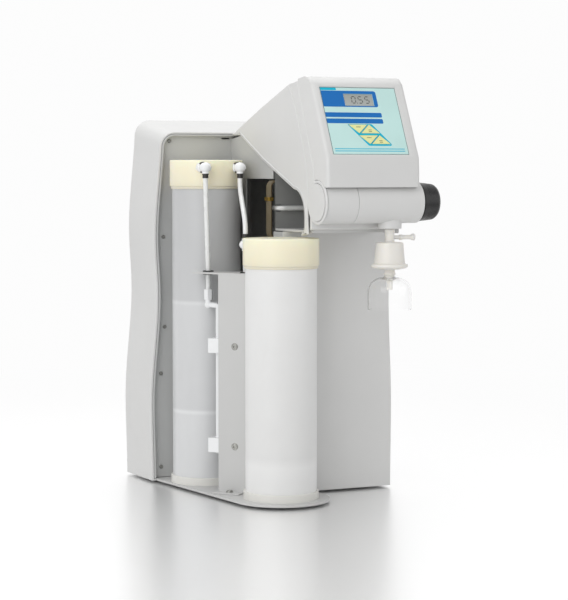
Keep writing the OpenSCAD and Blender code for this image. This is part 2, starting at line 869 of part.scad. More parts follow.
module valve_body() {
  color("ivory")
    difference() {
      union() {
        at([valve_from, barrel_f, barrel_z])
          to_right()
            cylinder(h = barrel_r - barrel_wall - fit - valve_from, d = 28);
        // flanges that seat in the barrel
        for (d = [valve_from, barrel_r - barrel_wall - fit - 4])
          at([d, barrel_f, barrel_z])
            to_right()
              cylinder(h = 4, d = barrel_d - 2 * barrel_wall - 2 * snug);
        at([outlet_d, barrel_f, collar_z + 2])
          cylinder(h = barrel_z - collar_z - 2, d = boss_d);
        at([outlet_d, barrel_f, collar_z - spigot_l + 1])
          cylinder(h = barrel_z - collar_z, d = spigot_d);
        // inlet stub towards the back
        at([product_to, valve_end, product_z])
          to_front()
            cylinder(h = 12, d = 11, $fn = 32);
      }
      at([barrel_r - barrel_wall - spindle_in, barrel_f, barrel_z])
        to_right()
          cylinder(h = 60, d = spindle_d + 2 * snug);
      at([outlet_d, barrel_f, collar_z - spigot_l])
        cylinder(h = barrel_z - collar_z + spigot_l, d = spigot_d - 3);
      // waterway from the inlet, and the seat of the product tube
      at([product_to, barrel_f, barrel_z])
        to_right()
          cylinder(h = outlet_d - product_to, d = tube_bore, $fn = 32);
      at([product_to, valve_end - 1, product_z])
        to_front()
          cylinder(h = 7, d = tube_d + 0.1, $fn = 32);
    }
}

module outlet_collar() {
  color("lightgray")
    difference() {
      at([outlet_d, barrel_f, collar_z])
        cylinder(h = barrel_z - collar_z - barrel_d / 3, d = collar_d);
      at([head_l - 5, barrel_f, barrel_z])
        to_right()
          cylinder(h = head_w, d = barrel_d + 2 * snug);
      at([outlet_d, barrel_f, collar_z - 1])
        cylinder(h = 60, d = boss_d + 2 * fit);
    }
}

knob_wall = 3;

module valve_spindle() {
  color("silver")
    at([barrel_r - barrel_wall - spindle_in + fit, barrel_f, barrel_z])
      to_right()
        cylinder(h = knob_gap + spindle_in + barrel_wall + knob_l - knob_wall - 4, d = spindle_d);
}

module knob() {
  color([0.12, 0.12, 0.13])
    at([knob_r, barrel_f, barrel_z])
      to_right()
        difference() {
          rotate_extrude($fn = 96)
            difference() {
              polygon([
                [0, 0], [knob_d / 2 - 2.5, 0], [knob_d / 2 - 1, 1.5], [knob_d / 2, knob_l * 0.45],
                [knob_d / 2 - 0.6, knob_l - 3], [knob_d / 2 - 2.6, knob_l], [0, knob_l]
              ]);
              // hollow behind the rim, round the hub
              translate([spindle_d / 2 + 3, -1])
                square([knob_d / 2 - knob_wall - spindle_d / 2 - 3.6, knob_l - knob_wall]);
            }
          translate([0, 0, -1])
            cylinder(h = knob_l - knob_wall, d = spindle_d + 0.04);
        }
}

// ---- filter, vent cap and bell ----

stem_top = collar_z - fit;
stem_d = 12.8;
capsule_top = collar_z - 17;
flange_z = collar_z - 45;
flange_h = 7;
neck_low = bell_base_z() + bell_h - 3;
tip_z = bell_base_z() + bell_h - 16;
function bell_base_z() = collar_z - 103;

vent_z = collar_z - 11;
vent_l = 27;

module filter_capsule() {
  color([0.95, 0.94, 0.92])
    at([outlet_d, barrel_f, 0])
      difference() {
        union() {
          translate([0, 0, capsule_top])
            cylinder(h = stem_top - capsule_top, d = stem_d);
          translate([0, 0, flange_z + flange_h - 1])
            cylinder(h = capsule_top - flange_z - flange_h + 1, d1 = capsule_d, d2 = capsule_d - 2.5);
          translate([0, 0, flange_z])
            cylinder(h = flange_h, d = capsule_d + 10);
          translate([0, 0, neck_low])
            cylinder(h = flange_z - neck_low + 1, d = 13);
          translate([0, 0, tip_z])
            cylinder(h = neck_low - tip_z + 1, d = 8);
          translate([0, 0, vent_z])
            to_right()
              cylinder(h = vent_l - 9, d = 5);
        }
        // seat of the spigot, filter chamber and outlet bore
        translate([0, 0, collar_z - spigot_l - 1])
          cylinder(h = 40, d = spigot_d + 0.1);
        translate([0, 0, flange_z + 3])
          cylinder(h = capsule_top - flange_z - 6, d = capsule_d - 8);
        translate([0, 0, tip_z - 1])
          cylinder(h = collar_z - tip_z, d = 3.4);
        translate([0, 0, vent_z])
          to_right()
            cylinder(h = vent_l, d = 2);
      }
}

module vent_cap() {
  color("white")
    at([outlet_d + vent_l - 13, barrel_f, vent_z])
      to_right()
        difference() {
          union() {
            cylinder(h = 13, d = 7.4);
            translate([0, 0, 10])
              cylinder(h = 3, d = 9);
          }
          translate([0, 0, -1])
            cylinder(h = 5, d = 5.04);
        }
}

module outlet_bell() {
  color([0.9, 0.95, 1, 0.4])
    at([outlet_d, barrel_f, bell_base_z()])
      difference() {
        union() {
          cylinder(h = bell_h - bell_d / 3, d = bell_d);
          translate([0, 0, bell_h - bell_d / 3])
            rotate_extrude($fn = 96)
              intersection() {
                bell_dome(bell_d / 2, bell_d / 3);
                square([bell_d, bell_d]);
              }
        }
        translate([0, 0, -eps])
          cylinder(h = bell_h - bell_d / 3 + 2 * eps, d = bell_d - 2 * bell_wall);
        translate([0, 0, bell_h - bell_d / 3])
          rotate_extrude($fn = 96)
            bell_dome(bell_d / 2 - bell_wall, bell_d / 3 - bell_wall);
        translate([0, 0, bell_h - 10])
          cylinder(h = 20, d = 13.04);
      }
}

// quarter outline of the bell's shoulder: a round corner of radius h on a disc of radius r
module bell_dome(r, h) {
  square([r - h, h]);
  translate([r - h, 0])
    intersection() {
      circle(r = h, $fn = 64);
      square([h, h]);
    }
}

// ---- cartridges ----

module cartridge(c, top) {
  body_top = top - cap_h - neck_h;
  at([c[0], c[1], deck_z])
    difference() {
      cylinder(h = body_top + neck_h - deck_z, d = body_d, $fn = 96);
      translate([0, 0, body_wall])
        cylinder(h = top, d = body_d - 2 * body_wall, $fn = 96);
    }
}

// the cap screws over the body; face is the direction its ports point in
module cartridge_cap(c, top) {
  at([c[0], c[1], top - cap_h - neck_h])
    difference() {
      union() {
        translate([0, 0, neck_h])
          cylinder(h = cap_h, d = cap_d, $fn = 96);
        cylinder(h = neck_h, d = cap_d - 2.4, $fn = 96);
      }
      translate([0, 0, -1])
        cylinder(h = neck_h + 1, d = body_d + 0.1, $fn = 96);
      translate([0, 0, neck_h - eps])
        cylinder(h = cap_h - 12, d = body_d - 2 * body_wall, $fn = 96);
    }
}

module locating_ring(c) {
  at([c[0], c[1], deck_z])
    difference() {
      cylinder(h = ring_h, d = body_d + 2 * ring_wall, $fn = 96);
      translate([0, 0, -1])
        cylinder(h = ring_h + 2, d = body_d + 0.1, $fn = 96);
    }
}

module rear_cartridge() { color([0.86, 0.88, 0.9]) cartridge(rear_c, rear_top); }
module front_cartridge() { color([0.93, 0.94, 0.94]) cartridge(front_c, front_top); }
module rear_cap() { color([0.95, 0.9, 0.78]) cartridge_cap(rear_c, rear_top); }
module front_cap() { color([0.95, 0.9, 0.78]) cartridge_cap(front_c, front_top); }
module rear_ring() { color("whitesmoke") locating_ring(rear_c); }
module front_ring() { color("whitesmoke") locating_ring(front_c); }

// ---- elbows ----

// each port: centre of its cap, port height, sideways place, direction of its face (0 is forward)
port_in = sqrt(cap_d * cap_d - port_pitch * port_pitch) / 2;
rear_port_z = rear_top - port_drop;
front_port_z = front_top - port_drop;
// balls as [right, forward, up]
feed_ball = [rear_c[0] - port_pitch / 2, rear_c[1] + port_in + port_out, rear_port_z];
transfer_ball = [rear_c[0] + port_pitch / 2, rear_c[1] + port_in + port_out, rear_port_z];
tee_ball = [front_c[0] - port_pitch / 2, front_c[1] - port_in - port_out, front_port_z];
outlet_turn = 38;    // the outlet port looks to the right and back
outlet_reach = cap_d / 2 + ball_d / 2 + 3;
outlet_ball = [front_c[0] + outlet_reach * cos(outlet_turn), front_c[1] - outlet_reach * sin(outlet_turn),
               front_port_z];
stub_d = 11;
collet_h = 6;

// an elbow ball with a stub back to its cap; turn 0 has the stub point back
module elbow(p, len, turn, up, down) {
  at(p) {
    difference() {
      union() {
        sphere(d = ball_d, $fn = 32);
        rotate([0, 0, turn])
          to_back()
            cylinder(h = len, d = stub_d, $fn = 32);
        if (down)
          translate([0, 0, -ball_d / 2 - 1])
            cylinder(h = ball_d / 2, d = stub_d - 1, $fn = 32);
        if (up)
          translate([0, 0, 1])
            cylinder(h = ball_d / 2, d = stub_d - 1, $fn = 32);
      }
      rotate([0, 0, turn])
        to_back()
          cylinder(h = len + 1, d = tube_bore, $fn = 24);
      if (down)
        translate([0, 0, -ball_d])
          cylinder(h = ball_d, d = tube_d + 0.1, $fn = 32);
      if (up)
        translate([0, 0, -1])
          cylinder(h = ball_d, d = tube_d + 0.1, $fn = 32);
    }
  }
}

module cap_elbows() {
  color("white")
    difference() {
      union() {
        elbow(feed_ball, port_out + 4, 0, false, true);
        elbow(transfer_ball, port_out + 4, 0, false, true);
        elbow(tee_ball, port_out + 4, 180, true, true);
        elbow(outlet_ball, ball_d / 2 + 5, 90 + outlet_turn, false, true);
      }
      for (c = [[rear_c, rear_top], [front_c, front_top]])
        at([c[0][0], c[0][1], c[1] - cap_h - 5])
          cylinder(h = cap_h + 10, d = cap_d + 0.02, $fn = 96);
    }
}

// ---- tubes between the caps and the bracket ----

// a tube's middle line in the upright plane through its two ends, as [across, up, lean]:
// it leaves the lower place upright, leans over, and reaches the higher place upright
bend_steps = 5;
function s_line(across, up, r, before, after) =
  let (span = norm([across - 2 * r, up]),
       lean = atan2(across - 2 * r, up) + asin(2 * r / span))
  concat(
    [[0, -before, 0]],
    [for (i = [0:bend_steps]) let (a = lean * i / bend_steps) [r * (1 - cos(a)), r * sin(a), a]],
    [for (i = [bend_steps:-1:0]) let (a = lean * i / bend_steps)
      [across - r * (1 - cos(a)), up - r * sin(a), a]],
    [[across, up + after, 0]]
  );

tube_sides = 16;
module s_tube(low, high, r, before, after) {
  line = s_line(norm([high[0] - low[0], high[1] - low[1]]), high[2] - low[2], r, before, after);
  n = tube_sides;
  last = len(line) - 1;
  at(low)
    rotate([0, 0, atan2(low[1] - high[1], high[0] - low[0])])
      polyhedron(
        points = [for (p = line, k = [0:n - 1]) let (a = 360 * k / n, c = cos(a) * tube_d / 2)
          [p[0] + c * cos(p[2]), sin(a) * tube_d / 2, p[1] - c * sin(p[2])]],
        faces = concat(
          [[for (k = [0:n - 1]) k]],
          [[for (k = [n - 1:-1:0]) last * n + k]],
          [for (i = [0:last - 1], k = [0:n - 1]) let (m = (k + 1) % n)
            [i * n + k, i * n + n + k, i * n + n + m, i * n + m]]
        )
      );
}

feed_hole = [48, feed_ball[1]];
drain_hole = [tee_ball[0], tee_ball[1]];
past_collet = ball_d / 2 + 1 + collet_h + 2;     // from a ball's centre to where its tube is free
in_ball = 4;

module feed_tube() {
  color("white")
    s_tube([feed_hole[0], feed_hole[1], shelf_z + 4], feed_ball - [0, 0, past_collet], 40,
           shelf_z + 4 - nut_top + 7, past_collet - in_ball);
}

module transfer_tube() {
  color("white")
    s_tube(tee_ball + [0, 0, past_collet], transfer_ball - [0, 0, past_collet], 25,
           past_collet - in_ball, past_collet - in_ball);
}

module drain_tube() {
  color("white")
    at([drain_hole[0], drain_hole[1], module_top + 3])
      pipe(tee_ball[2] - in_ball - module_top - 3, tube_d, tube_bore);
}

// ---- bracket and the module behind it ----

// the upright plate runs from plate_from towards the front right
plate_from = [47, 225];
plate_turn = 48.7;
plate_l = 41;
shelf_outline = [[25, 190], [47, 225], [75, 257], [80, 257], [110, 215], [39, 176]];

// x along the plate, y behind it, z up
module plate_frame() {
  translate([rt(plate_from[0]), fw(plate_from[1]), 0])
    rotate([0, 0, -plate_turn])
      children();
}

tab_l = 18;
plate_screws = [[24, shelf_z - 95.5], [24, 66.6]];

module bracket() {
  color("whitesmoke")
    difference() {
      union() {
        translate([0, 0, shelf_z - bracket_t])
          linear_extrude(bracket_t)
            polygon([for (p = shelf_outline) [rt(p[0]), fw(p[1])]]);
        plate_frame() {
          translate([0, 0, deck_z])
            cube([plate_l, bracket_t, shelf_z - deck_z - eps]);
          translate([0, -tab_l, deck_z])
            cube([plate_l - 3, tab_l + 1, bracket_t]);
        }
      }
      for (p = [feed_hole, drain_hole])
        at([p[0], p[1], shelf_z - bracket_t - 1])
          cylinder(h = bracket_t + 2, d = tube_d + 4.6, $fn = 32);
      plate_frame() {
        for (s = plate_screws)
          translate([s[0], -1, s[1]])
            to_back()
              cylinder(h = bracket_t + 2, d = 3.4, $fn = 24);
        translate([plate_l / 2, -tab_l / 2, deck_z - 1])
          cylinder(h = bracket_t + 2, d = 4.4, $fn = 24);
      }
    }
}

module bracket_screws() {
  color("silver")
    plate_frame() {
      for (s = plate_screws)
        translate([s[0], 0, s[1]])
          to_front()
            pan_screw(3.2, 6.5, 2.2, 8);
      translate([plate_l / 2, -tab_l / 2, deck_z + bracket_t])
        pan_screw(4, 8, 2.6, bracket_t + plate_t - 0.2);
    }
}

// a grommet in a sheet whose faces are at z = 0 and z = -sheet
module grommet(sheet, bore) {
  rotate_extrude($fn = 48)
    polygon([
      [bore / 2, 1.6], [bore / 2, -sheet - 1.6], [tube_d / 2 + 4, -sheet - 1.6], [tube_d / 2 + 4, -sheet],
      [tube_d / 2 + 2.2, -sheet], [tube_d / 2 + 2.2, 0], [tube_d / 2 + 4, 0], [tube_d / 2 + 4, 1.6]
    ]);
}

module grommets() {
  color([0.12, 0.12, 0.12]) {
    for (p = [feed_hole, drain_hole])
      at([p[0], p[1], shelf_z])
        grommet(bracket_t, tube_d + 0.6);
    // where the front cartridge's outlet tube enters the tower
    at([outlet_ball[0], tower_f, pass_z])
      to_front()
        grommet(tower_wall, tube_d + 0.6);
  }
}

module_from = -8;
module_w = 40;
module_y = 9;
module_t = 14;
module_low = 55;
module_top = shelf_z - 41;
nut_top = shelf_z - 23;
nut_h = 14;

module flow_module() {
  color("white")
    difference() {
      union() {
        plate_frame()
          translate([module_from, module_y, module_low])
            cube([module_w, module_t, module_top - module_low]);
        // socket of the drain tube
        at([drain_hole[0], drain_hole[1], module_top - eps])
          cylinder(h = 9, d = 12, $fn = 48);
      }
      at([drain_hole[0], drain_hole[1], module_top + 2])
        cylinder(h = 9, d = tube_d + 0.1, $fn = 32);
      // parting groove round the case
      plate_frame()
        translate([module_from - 1, module_y - 1, module_top - 40])
          cube([2, module_t + 2, 1]);
    }
}

clip_h = 19;

module module_clips() {
  color("white")
    plate_frame()
      for (s = plate_screws)
        translate([0, 0, s[1] - clip_h / 2])
          difference() {
            translate([-16, bracket_t + 0.02, 0])
              cube([46, module_y + module_t + 3 - bracket_t, clip_h]);
            translate([module_from - 0.02, module_y - 0.02, -1])
              cube([module_w + 0.04, module_t + 20, clip_h + 2]);
            // the screw's hole
            translate([s[0], bracket_t - 1, clip_h / 2])
              to_back()
                cylinder(h = 10, d = 3.2, $fn = 24);
            // finger groove at the free end
            translate([-16 - 1, module_y + 6, -1])
              cylinder(h = clip_h + 2, r = 3, $fn = 32);
          }
}

module module_fitting() {
  mid = nut_top - nut_h - 6.5;
  color("white")
    difference() {
      union() {
        at([feed_hole[0], feed_hole[1], nut_top - nut_h])
          cylinder(h = nut_h, d = 12, $fn = 6);
        at([feed_hole[0], feed_hole[1], mid])
          cylinder(h = nut_top - nut_h - mid + 1, d = 8, $fn = 32);
        at([feed_hole[0], feed_hole[1], mid])
          sphere(d = 10, $fn = 32);
        at([feed_hole[0], feed_hole[1], mid])
          rotate([0, 0, -fitting_turn])
            to_right()
              cylinder(h = fitting_l, d = 7, $fn = 32);
      }
      at([feed_hole[0], feed_hole[1], nut_top - 8])
        cylinder(h = 9, d = tube_d + 0.1, $fn = 32);
      at([feed_hole[0], feed_hole[1], mid])
        cylinder(h = 30, d = tube_bore, $fn = 32);
      at([feed_hole[0], feed_hole[1], mid])
        rotate([0, 0, -fitting_turn])
          to_right()
            cylinder(h = fitting_l + 1, d = tube_bore - 0.6, $fn = 32);
      plate_frame()
        translate([module_from, 0, 0])
          cube([60, 60, 400]);
    }
}
// direction and length of the fitting's side arm, from the nut to the module's left face
fitting_aim = [
  plate_from[0] + module_from * cos(plate_turn) + (module_y + 7) * sin(plate_turn) - feed_hole[0],
  plate_from[1] + module_from * sin(plate_turn) - (module_y + 7) * cos(plate_turn) - feed_hole[1]
];
fitting_turn = atan2(fitting_aim[1], fitting_aim[0]);
fitting_l = norm(fitting_aim) + 3;

// ---- hoses and tubes behind the arch ----

hose_d = 4;
hose_x = 125.4;
hose_f = [208.6, 213.1, 217.6];
hose_low = barrel_z - 41;
hose_r = 8;
hose_high = min(barrel_z + 18, ridge_z(hose_f[2]) - hose_r - 6);

module hose_bundle() {
  color("tan")
    for (f = hose_f)
      at([hose_x, f, 0]) {
        translate([0, 0, hose_low])
          cylinder(h = hose_high - hose_low, d = hose_d, $fn = 24);
        // both ends turn right, into the tower
        translate([0, 0, hose_high])
          hose_turn();
        translate([0, 0, hose_low])
          mirror([0, 0, 1])
            hose_turn();
      }
}

module hose_turn() {
  translate([hose_r, 0, 0])
    rotate([90, 0, 0])
      rotate([0, 0, 90])
        rotate_extrude(angle = 90, $fn = 48)
          translate([hose_r, 0])
            circle(d = hose_d, $fn = 24);
  translate([hose_r, 0, hose_r])
    to_right()
      cylinder(h = 8, d = hose_d, $fn = 24);
}

module hose_clip() {
  color("darkgoldenrod")
    difference() {
      block([hose_x - 3.4, hose_f[0] - 3.4, barrel_z], [hose_x + 3.4, hose_f[2] + 2.3, barrel_z + 5]);
      for (f = hose_f)
        at([hose_x, f, barrel_z - 6])
          cylinder(h = 20, d = hose_d + 0.02, $fn = 24);
    }
}

product_z = barrel_z - 9.4;
product_f = inner_f + tube_d / 2 + 1;
product_r = 8;
product_from = 135;      // where the tube comes through the inner wall
product_to = outlet_d - 20;
valve_end = barrel_f - 18;

// a quarter bend in the horizontal plane, from pointing forward to pointing right
module flat_bend(r) {
  rotate_extrude(angle = 90, $fn = 48)
    translate([r, 0])
      difference() {
        circle(d = tube_d, $fn = 32);
        circle(d = tube_bore, $fn = 32);
      }
}

pass_r = 6.6;
pass_z = shelf_z - 15;      // height at which the outlet tube enters the tower
cell_f = 236;

module product_tubes() {
  color("gainsboro") {
    // from the tower, along the inner wall, then forward to the valve
    at([product_from, inner_f - 16, product_z])
      to_front()
        pipe(16 + product_f - inner_f - product_r, tube_d, tube_bore);
    at([product_from + product_r, product_f - product_r, product_z])
      rotate([0, 0, 180])
        flat_bend(product_r);
    at([product_from + product_r, product_f, product_z])
      to_right()
        pipe(product_to - product_from - 2 * product_r, tube_d, tube_bore);
    at([product_to - product_r, product_f + product_r, product_z])
      flat_bend(product_r);
    at([product_to, product_f + product_r, product_z])
      to_front()
        pipe(valve_end - product_f - product_r + 6, tube_d, tube_bore);
    // from the front cap's outlet down and back into the tower
    at([outlet_ball[0], outlet_ball[1], pass_z + pass_r])
      pipe(outlet_ball[2] - pass_z - pass_r - 4, tube_d, tube_bore);
    at([outlet_ball[0], outlet_ball[1] - pass_r, pass_z + pass_r])
      rotate([0, 0, -90])
        rotate([-90, 0, 0])
          rotate_extrude(angle = 90, $fn = 48)
            translate([pass_r, 0])
              difference() {
                circle(d = tube_d, $fn = 32);
                circle(d = tube_bore, $fn = 32);
              }
    at([outlet_ball[0], outlet_ball[1] - pass_r, pass_z])
      to_back()
        pipe(outlet_ball[1] - pass_r - cell_f + 6, tube_d, tube_bore);
  }
}

// ---- inside the tower ----

pump_f = 170;
pump_z = 44;
pump_l = 138;
motor_d = 60;
motor_l = 88;
head_len = 34;

module pump_motor() {
  color("dimgray")
    difference() {
      union() {
        at([pump_l + head_len, pump_f, pump_z])
          to_right() {
            cylinder(h = motor_l, d = motor_d);
            cylinder(h = 5, d = motor_d + 4);
            translate([0, 0, motor_l - 8])
              cylinder(h = 8, d = motor_d + 4);
          }
        for (d = [12, motor_l - 26])
          block([pump_l + head_len + d, pump_f - 30, deck_z],
                [pump_l + head_len + d + 14, pump_f + 30, pump_z - 15]);
      }
      // hole of the coupling
      at([pump_l + head_len - 1, pump_f, pump_z])
        to_right()
          cylinder(h = 20, d = 8.1, $fn = 32);
    }
}

module pump_head() {
  color("slategray")
    union() {
      at([pump_l, pump_f, pump_z])
        to_right() {
          cylinder(h = head_len, d = 52);
          cylinder(h = head_len + 18, d = 8, $fn = 32);
        }
      // its two ports
      for (s = [-1, 1])
        at([pump_l + 12, pump_f + s * 13, pump_z])
          cylinder(h = 38, d = 12, $fn = 32);
    }
}

module solenoid_valve() {
  color("steelblue")
    union() {
      block([part_d + partition_t, 150, 150], [part_d + partition_t + 34, 184, 174]);
      at([part_d + partition_t + 17, 167, 174])
        cylinder(h = 34, d = 28, $fn = 48);
      for (f = [138, 184])
        at([part_d + partition_t + 17, f, 162])
          to_front()
            cylinder(h = 12, d = 12, $fn = 32);
    }
}

module conductivity_cell() {
  color("whitesmoke")
    difference() {
      union() {
        at([outlet_ball[0], cell_f, pass_z])
          to_back()
            cylinder(h = 46, d = 24, $fn = 48);
        // its saddle on the partition
        block([part_d + partition_t, cell_f - 34, pass_z - 8], [outlet_ball[0], cell_f - 14, pass_z + 8]);
      }
      at([outlet_ball[0], cell_f + 1, pass_z])
        to_back()
          cylinder(h = 8, d = tube_d + 0.1, $fn = 32);
      at([outlet_ball[0], cell_f, pass_z])
        to_back()
          cylinder(h = 30, d = 3, $fn = 24);
    }
}

// ---- behind the tray ----

module power_supply() {
  color("silver")
    difference() {
      block([44, panel_f - tray_t - 46, 70], [134, panel_f - tray_t, 220]);
      // air slots in its end
      for (i = [0:6])
        block([52 + i * 11, panel_f - tray_t - 40, 212], [57 + i * 11, panel_f - tray_t - 8, 221]);
    }
}

module main_board() {
  color("seagreen")
    union() {
      block([36, panel_f - tray_t - 9.6, 250], [140, panel_f - tray_t - 8, 410]);
      for (d = [42, 134], z = [258, 402])
        at([d, panel_f - tray_t - 8, z])
          to_front()
            cylinder(h = 8, d = 6, $fn = 24);
      for (i = [0:3])
        block([44 + i * 24, panel_f - tray_t - 26, 268], [60 + i * 24, panel_f - tray_t - 9.6, 284]);
      block([52, panel_f - tray_t - 13, 320], [84, panel_f - tray_t - 9.6, 352]);
      block([96, panel_f - tray_t - 22, 310], [128, panel_f - tray_t - 9.6, 340]);
    }
}

plate_wall = 2;
inlet = [168, 68];      // middle of the inlet and switch module, [right, up]
inlet_w = 30;
inlet_h = 60;
port_spots = [[212, 68], [244, 68]];
port_d = 18;

module connection_plate() {
  color([0.25, 0.25, 0.27])
    difference() {
      block([conn_l + fit, 0, conn_z + fit], [conn_l + conn_w - fit, conn_in, conn_z + conn_h - fit]);
      block([conn_l + fit + plate_wall, -1, conn_z + fit + plate_wall],
            [conn_l + conn_w - fit - plate_wall, conn_in - plate_wall, conn_z + conn_h - fit - plate_wall]);
      block([inlet[0] - inlet_w / 2 + 1, 0, inlet[1] - inlet_h / 2 + 1],
            [inlet[0] + inlet_w / 2 - 1, conn_in + 1, inlet[1] + inlet_h / 2 - 1]);
      for (p = port_spots)
        at([p[0], conn_in + 1, p[1]])
          to_back()
            cylinder(h = 10, d = port_d - 2 + 0.04, $fn = 48);
    }
}

rocker_w = 22;
rocker_h = 24;
rocker_z = inlet[1] + 14;
rocker_f = conn_in - plate_wall + 4;
socket_z = inlet[1] - 13;

module mains_inlet() {
  color([0.1, 0.1, 0.1])
    difference() {
      union() {
        block([inlet[0] - inlet_w / 2, conn_in - plate_wall - 3, inlet[1] - inlet_h / 2],
              [inlet[0] + inlet_w / 2, conn_in - plate_wall, inlet[1] + inlet_h / 2]);
        block([inlet[0] - inlet_w / 2 + 1.05, conn_in - plate_wall - 1, inlet[1] - inlet_h / 2 + 1.05],
              [inlet[0] + inlet_w / 2 - 1.05, conn_in + 26, inlet[1] + inlet_h / 2 - 1.05]);
      }
      // socket, and the frame that holds the rocker
      block([inlet[0] - 12, 0, socket_z - 8], [inlet[0] + 12, conn_in + 14, socket_z + 8]);
      block([inlet[0] - rocker_w / 2 - 0.6, 0, rocker_z - rocker_h / 2 - 0.8],
            [inlet[0] + rocker_w / 2 + 0.6, conn_in + 18, rocker_z + rocker_h / 2 + 0.8]);
      // pivot holes of the rocker
      at([inlet[0] - inlet_w / 2 + 1.5, rocker_f, rocker_z])
        to_right()
          cylinder(h = inlet_w - 3, d = 3 + 2 * snug, $fn = 32);
    }
  // the socket's three blades
  color("silver")
    for (p = [[-7, -2], [0, 2], [7, -2]])
      block([inlet[0] + p[0] - 1, conn_in + 1, socket_z + p[1] - 2.5],
            [inlet[0] + p[0] + 1, conn_in + 15, socket_z + p[1] + 2.5]);
}

rocker_tilt = 10;

module power_switch() {
  color([0.16, 0.16, 0.17])
    union() {
      at([inlet[0] - rocker_w / 2, rocker_f, rocker_z])
        rotate([rocker_tilt, 0, 0])
          to_right()
            linear_extrude(rocker_w)
              polygon(rocker_side());
      at([inlet[0] - inlet_w / 2 + 1.8, rocker_f, rocker_z])
        to_right()
          cylinder(h = inlet_w - 3.6, d = 3, $fn = 32);
    }
}
// the rocker seen from the side: a shallow V towards the back, a round hub in front
function rocker_side() = [
  [-rocker_h / 2 + 1.5, 8.5], [0, 6], [rocker_h / 2 - 1.5, 8.5], [rocker_h / 2 - 2.5, 2], [4, -3], [-4, -3],
  [-rocker_h / 2 + 2.5, 2]
];

module water_ports() {
  color("whitesmoke")
    for (p = port_spots)
      at([p[0], 0, p[1]])
        difference() {
          union() {
            translate([0, -5, 0])
              to_front()
                cylinder(h = conn_in - plate_wall - 5, d = port_d, $fn = 48);
            translate([0, -6, 0])
              to_front()
                cylinder(h = conn_in + 12, d = port_d - 2, $fn = 48);
          }
          translate([0, 0, 0])
            to_front()
              cylinder(h = 5 + port_bore_l, d = port_tube_d + 0.1, $fn = 48);
          to_front()
            cylinder(h = 60, d = port_tube_d - 3, $fn = 48);
        }
}

// ---- collets and clips of the elbows ----

module collar_ring(p, up) {
  at(p)
    translate([0, 0, up ? ball_d / 2 + 1 : -ball_d / 2 - 1 - collet_h])
      pipe(collet_h, stub_d - 1, tube_d + 0.1);
}

module collets() {
  color([0.1, 0.1, 0.1]) {
    collar_ring(feed_ball, false);
    collar_ring(transfer_ball, false);
    collar_ring(tee_ball, false);
    collar_ring(tee_ball, true);
    collar_ring(outlet_ball, false);
  }
}

// a clip straddling a stub; turn as in elbow()
module locking_clip(p, turn) {
  at(p)
    rotate([0, 0, turn])
      difference() {
        translate([-4.5, ball_d / 2 + 0.5, 0])
          cube([9, 2.5, stub_d / 2 + 3]);
        to_back()
          cylinder(h = 20, d = stub_d + 0.02, $fn = 32);
      }
}

module locking_clips() {
  color([0.2, 0.2, 0.2]) {
    locking_clip(feed_ball, 0);
    locking_clip(transfer_ball, 0);
    locking_clip(tee_ball, 180);
    locking_clip(outlet_ball, 90 + outlet_turn);
  }
}

rear_shell();
chassis_tray();
tray_screws();
base_plate();
rubber_feet();
partition_wall();
inner_wall();
tower_cover();
neck_cover();
head_frame();
head_front();
head_floor();
display_overlay();
lcd_module();
display_board();
key_1();
key_2();
key_3();
key_4();
barrel_cover();
barrel_end_cap();
barrel_body();
valve_body();
outlet_collar();
valve_spindle();
knob();
filter_capsule();
vent_cap();
outlet_bell();
rear_cartridge();
rear_cap();
rear_ring();
front_cartridge();
front_cap();
front_ring();
cap_elbows();
collets();
locking_clips();
feed_tube();
transfer_tube();
drain_tube();
bracket();
bracket_screws();
grommets();
flow_module();
module_clips();
module_fitting();
hose_bundle();
hose_clip();
product_tubes();
pump_motor();
pump_head();
solenoid_valve();
conductivity_cell();
power_supply();
main_board();
connection_plate();
mains_inlet();
power_switch();
water_ports();
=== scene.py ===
"""Looks of a bench ultrapure water system, dressed round its CAD frame."""

import json
import math

import bmesh
import bpy
from bpy.props import FloatProperty, FloatVectorProperty, IntProperty, PointerProperty
from bpy.types import Operator, Panel, PropertyGroup
from mathutils import Matrix, Vector

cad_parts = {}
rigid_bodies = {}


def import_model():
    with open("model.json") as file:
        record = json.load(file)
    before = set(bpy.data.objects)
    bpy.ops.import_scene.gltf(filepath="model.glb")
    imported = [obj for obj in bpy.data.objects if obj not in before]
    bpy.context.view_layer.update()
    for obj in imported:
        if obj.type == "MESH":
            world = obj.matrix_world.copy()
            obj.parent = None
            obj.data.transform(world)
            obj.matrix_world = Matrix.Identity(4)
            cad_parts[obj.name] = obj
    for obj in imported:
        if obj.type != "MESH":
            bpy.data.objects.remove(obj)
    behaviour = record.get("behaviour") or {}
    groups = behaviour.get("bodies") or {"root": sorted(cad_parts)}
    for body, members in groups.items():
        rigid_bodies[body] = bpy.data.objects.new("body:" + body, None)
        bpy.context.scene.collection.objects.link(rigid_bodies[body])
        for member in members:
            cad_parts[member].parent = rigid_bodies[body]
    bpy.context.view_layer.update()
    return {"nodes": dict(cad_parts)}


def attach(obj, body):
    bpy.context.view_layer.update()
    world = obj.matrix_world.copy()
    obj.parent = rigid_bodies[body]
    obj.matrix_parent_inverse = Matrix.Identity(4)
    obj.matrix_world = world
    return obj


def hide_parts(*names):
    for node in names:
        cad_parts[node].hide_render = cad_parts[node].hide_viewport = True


bl_info = {
    "name": "Ultrapure Water System",
    "version": (1, 0, 0),
    "blender": (4, 5, 0),
    "location": "View3D > Sidebar > Water System",
    "description": "Models the looks of a bench water purifier round its CAD frame",
    "category": "Object",
}

for leftover in list(bpy.data.objects):
    bpy.data.objects.remove(leftover)
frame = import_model()

MM = 0.001
CHASSIS = "chassis"
UP, RIGHT, BACKWARD = Vector((0, 0, 1)), Vector((1, 0, 0)), Vector((0, 1, 0))


# ---- main places, as in the CAD source; all sizes are in millimetres ----

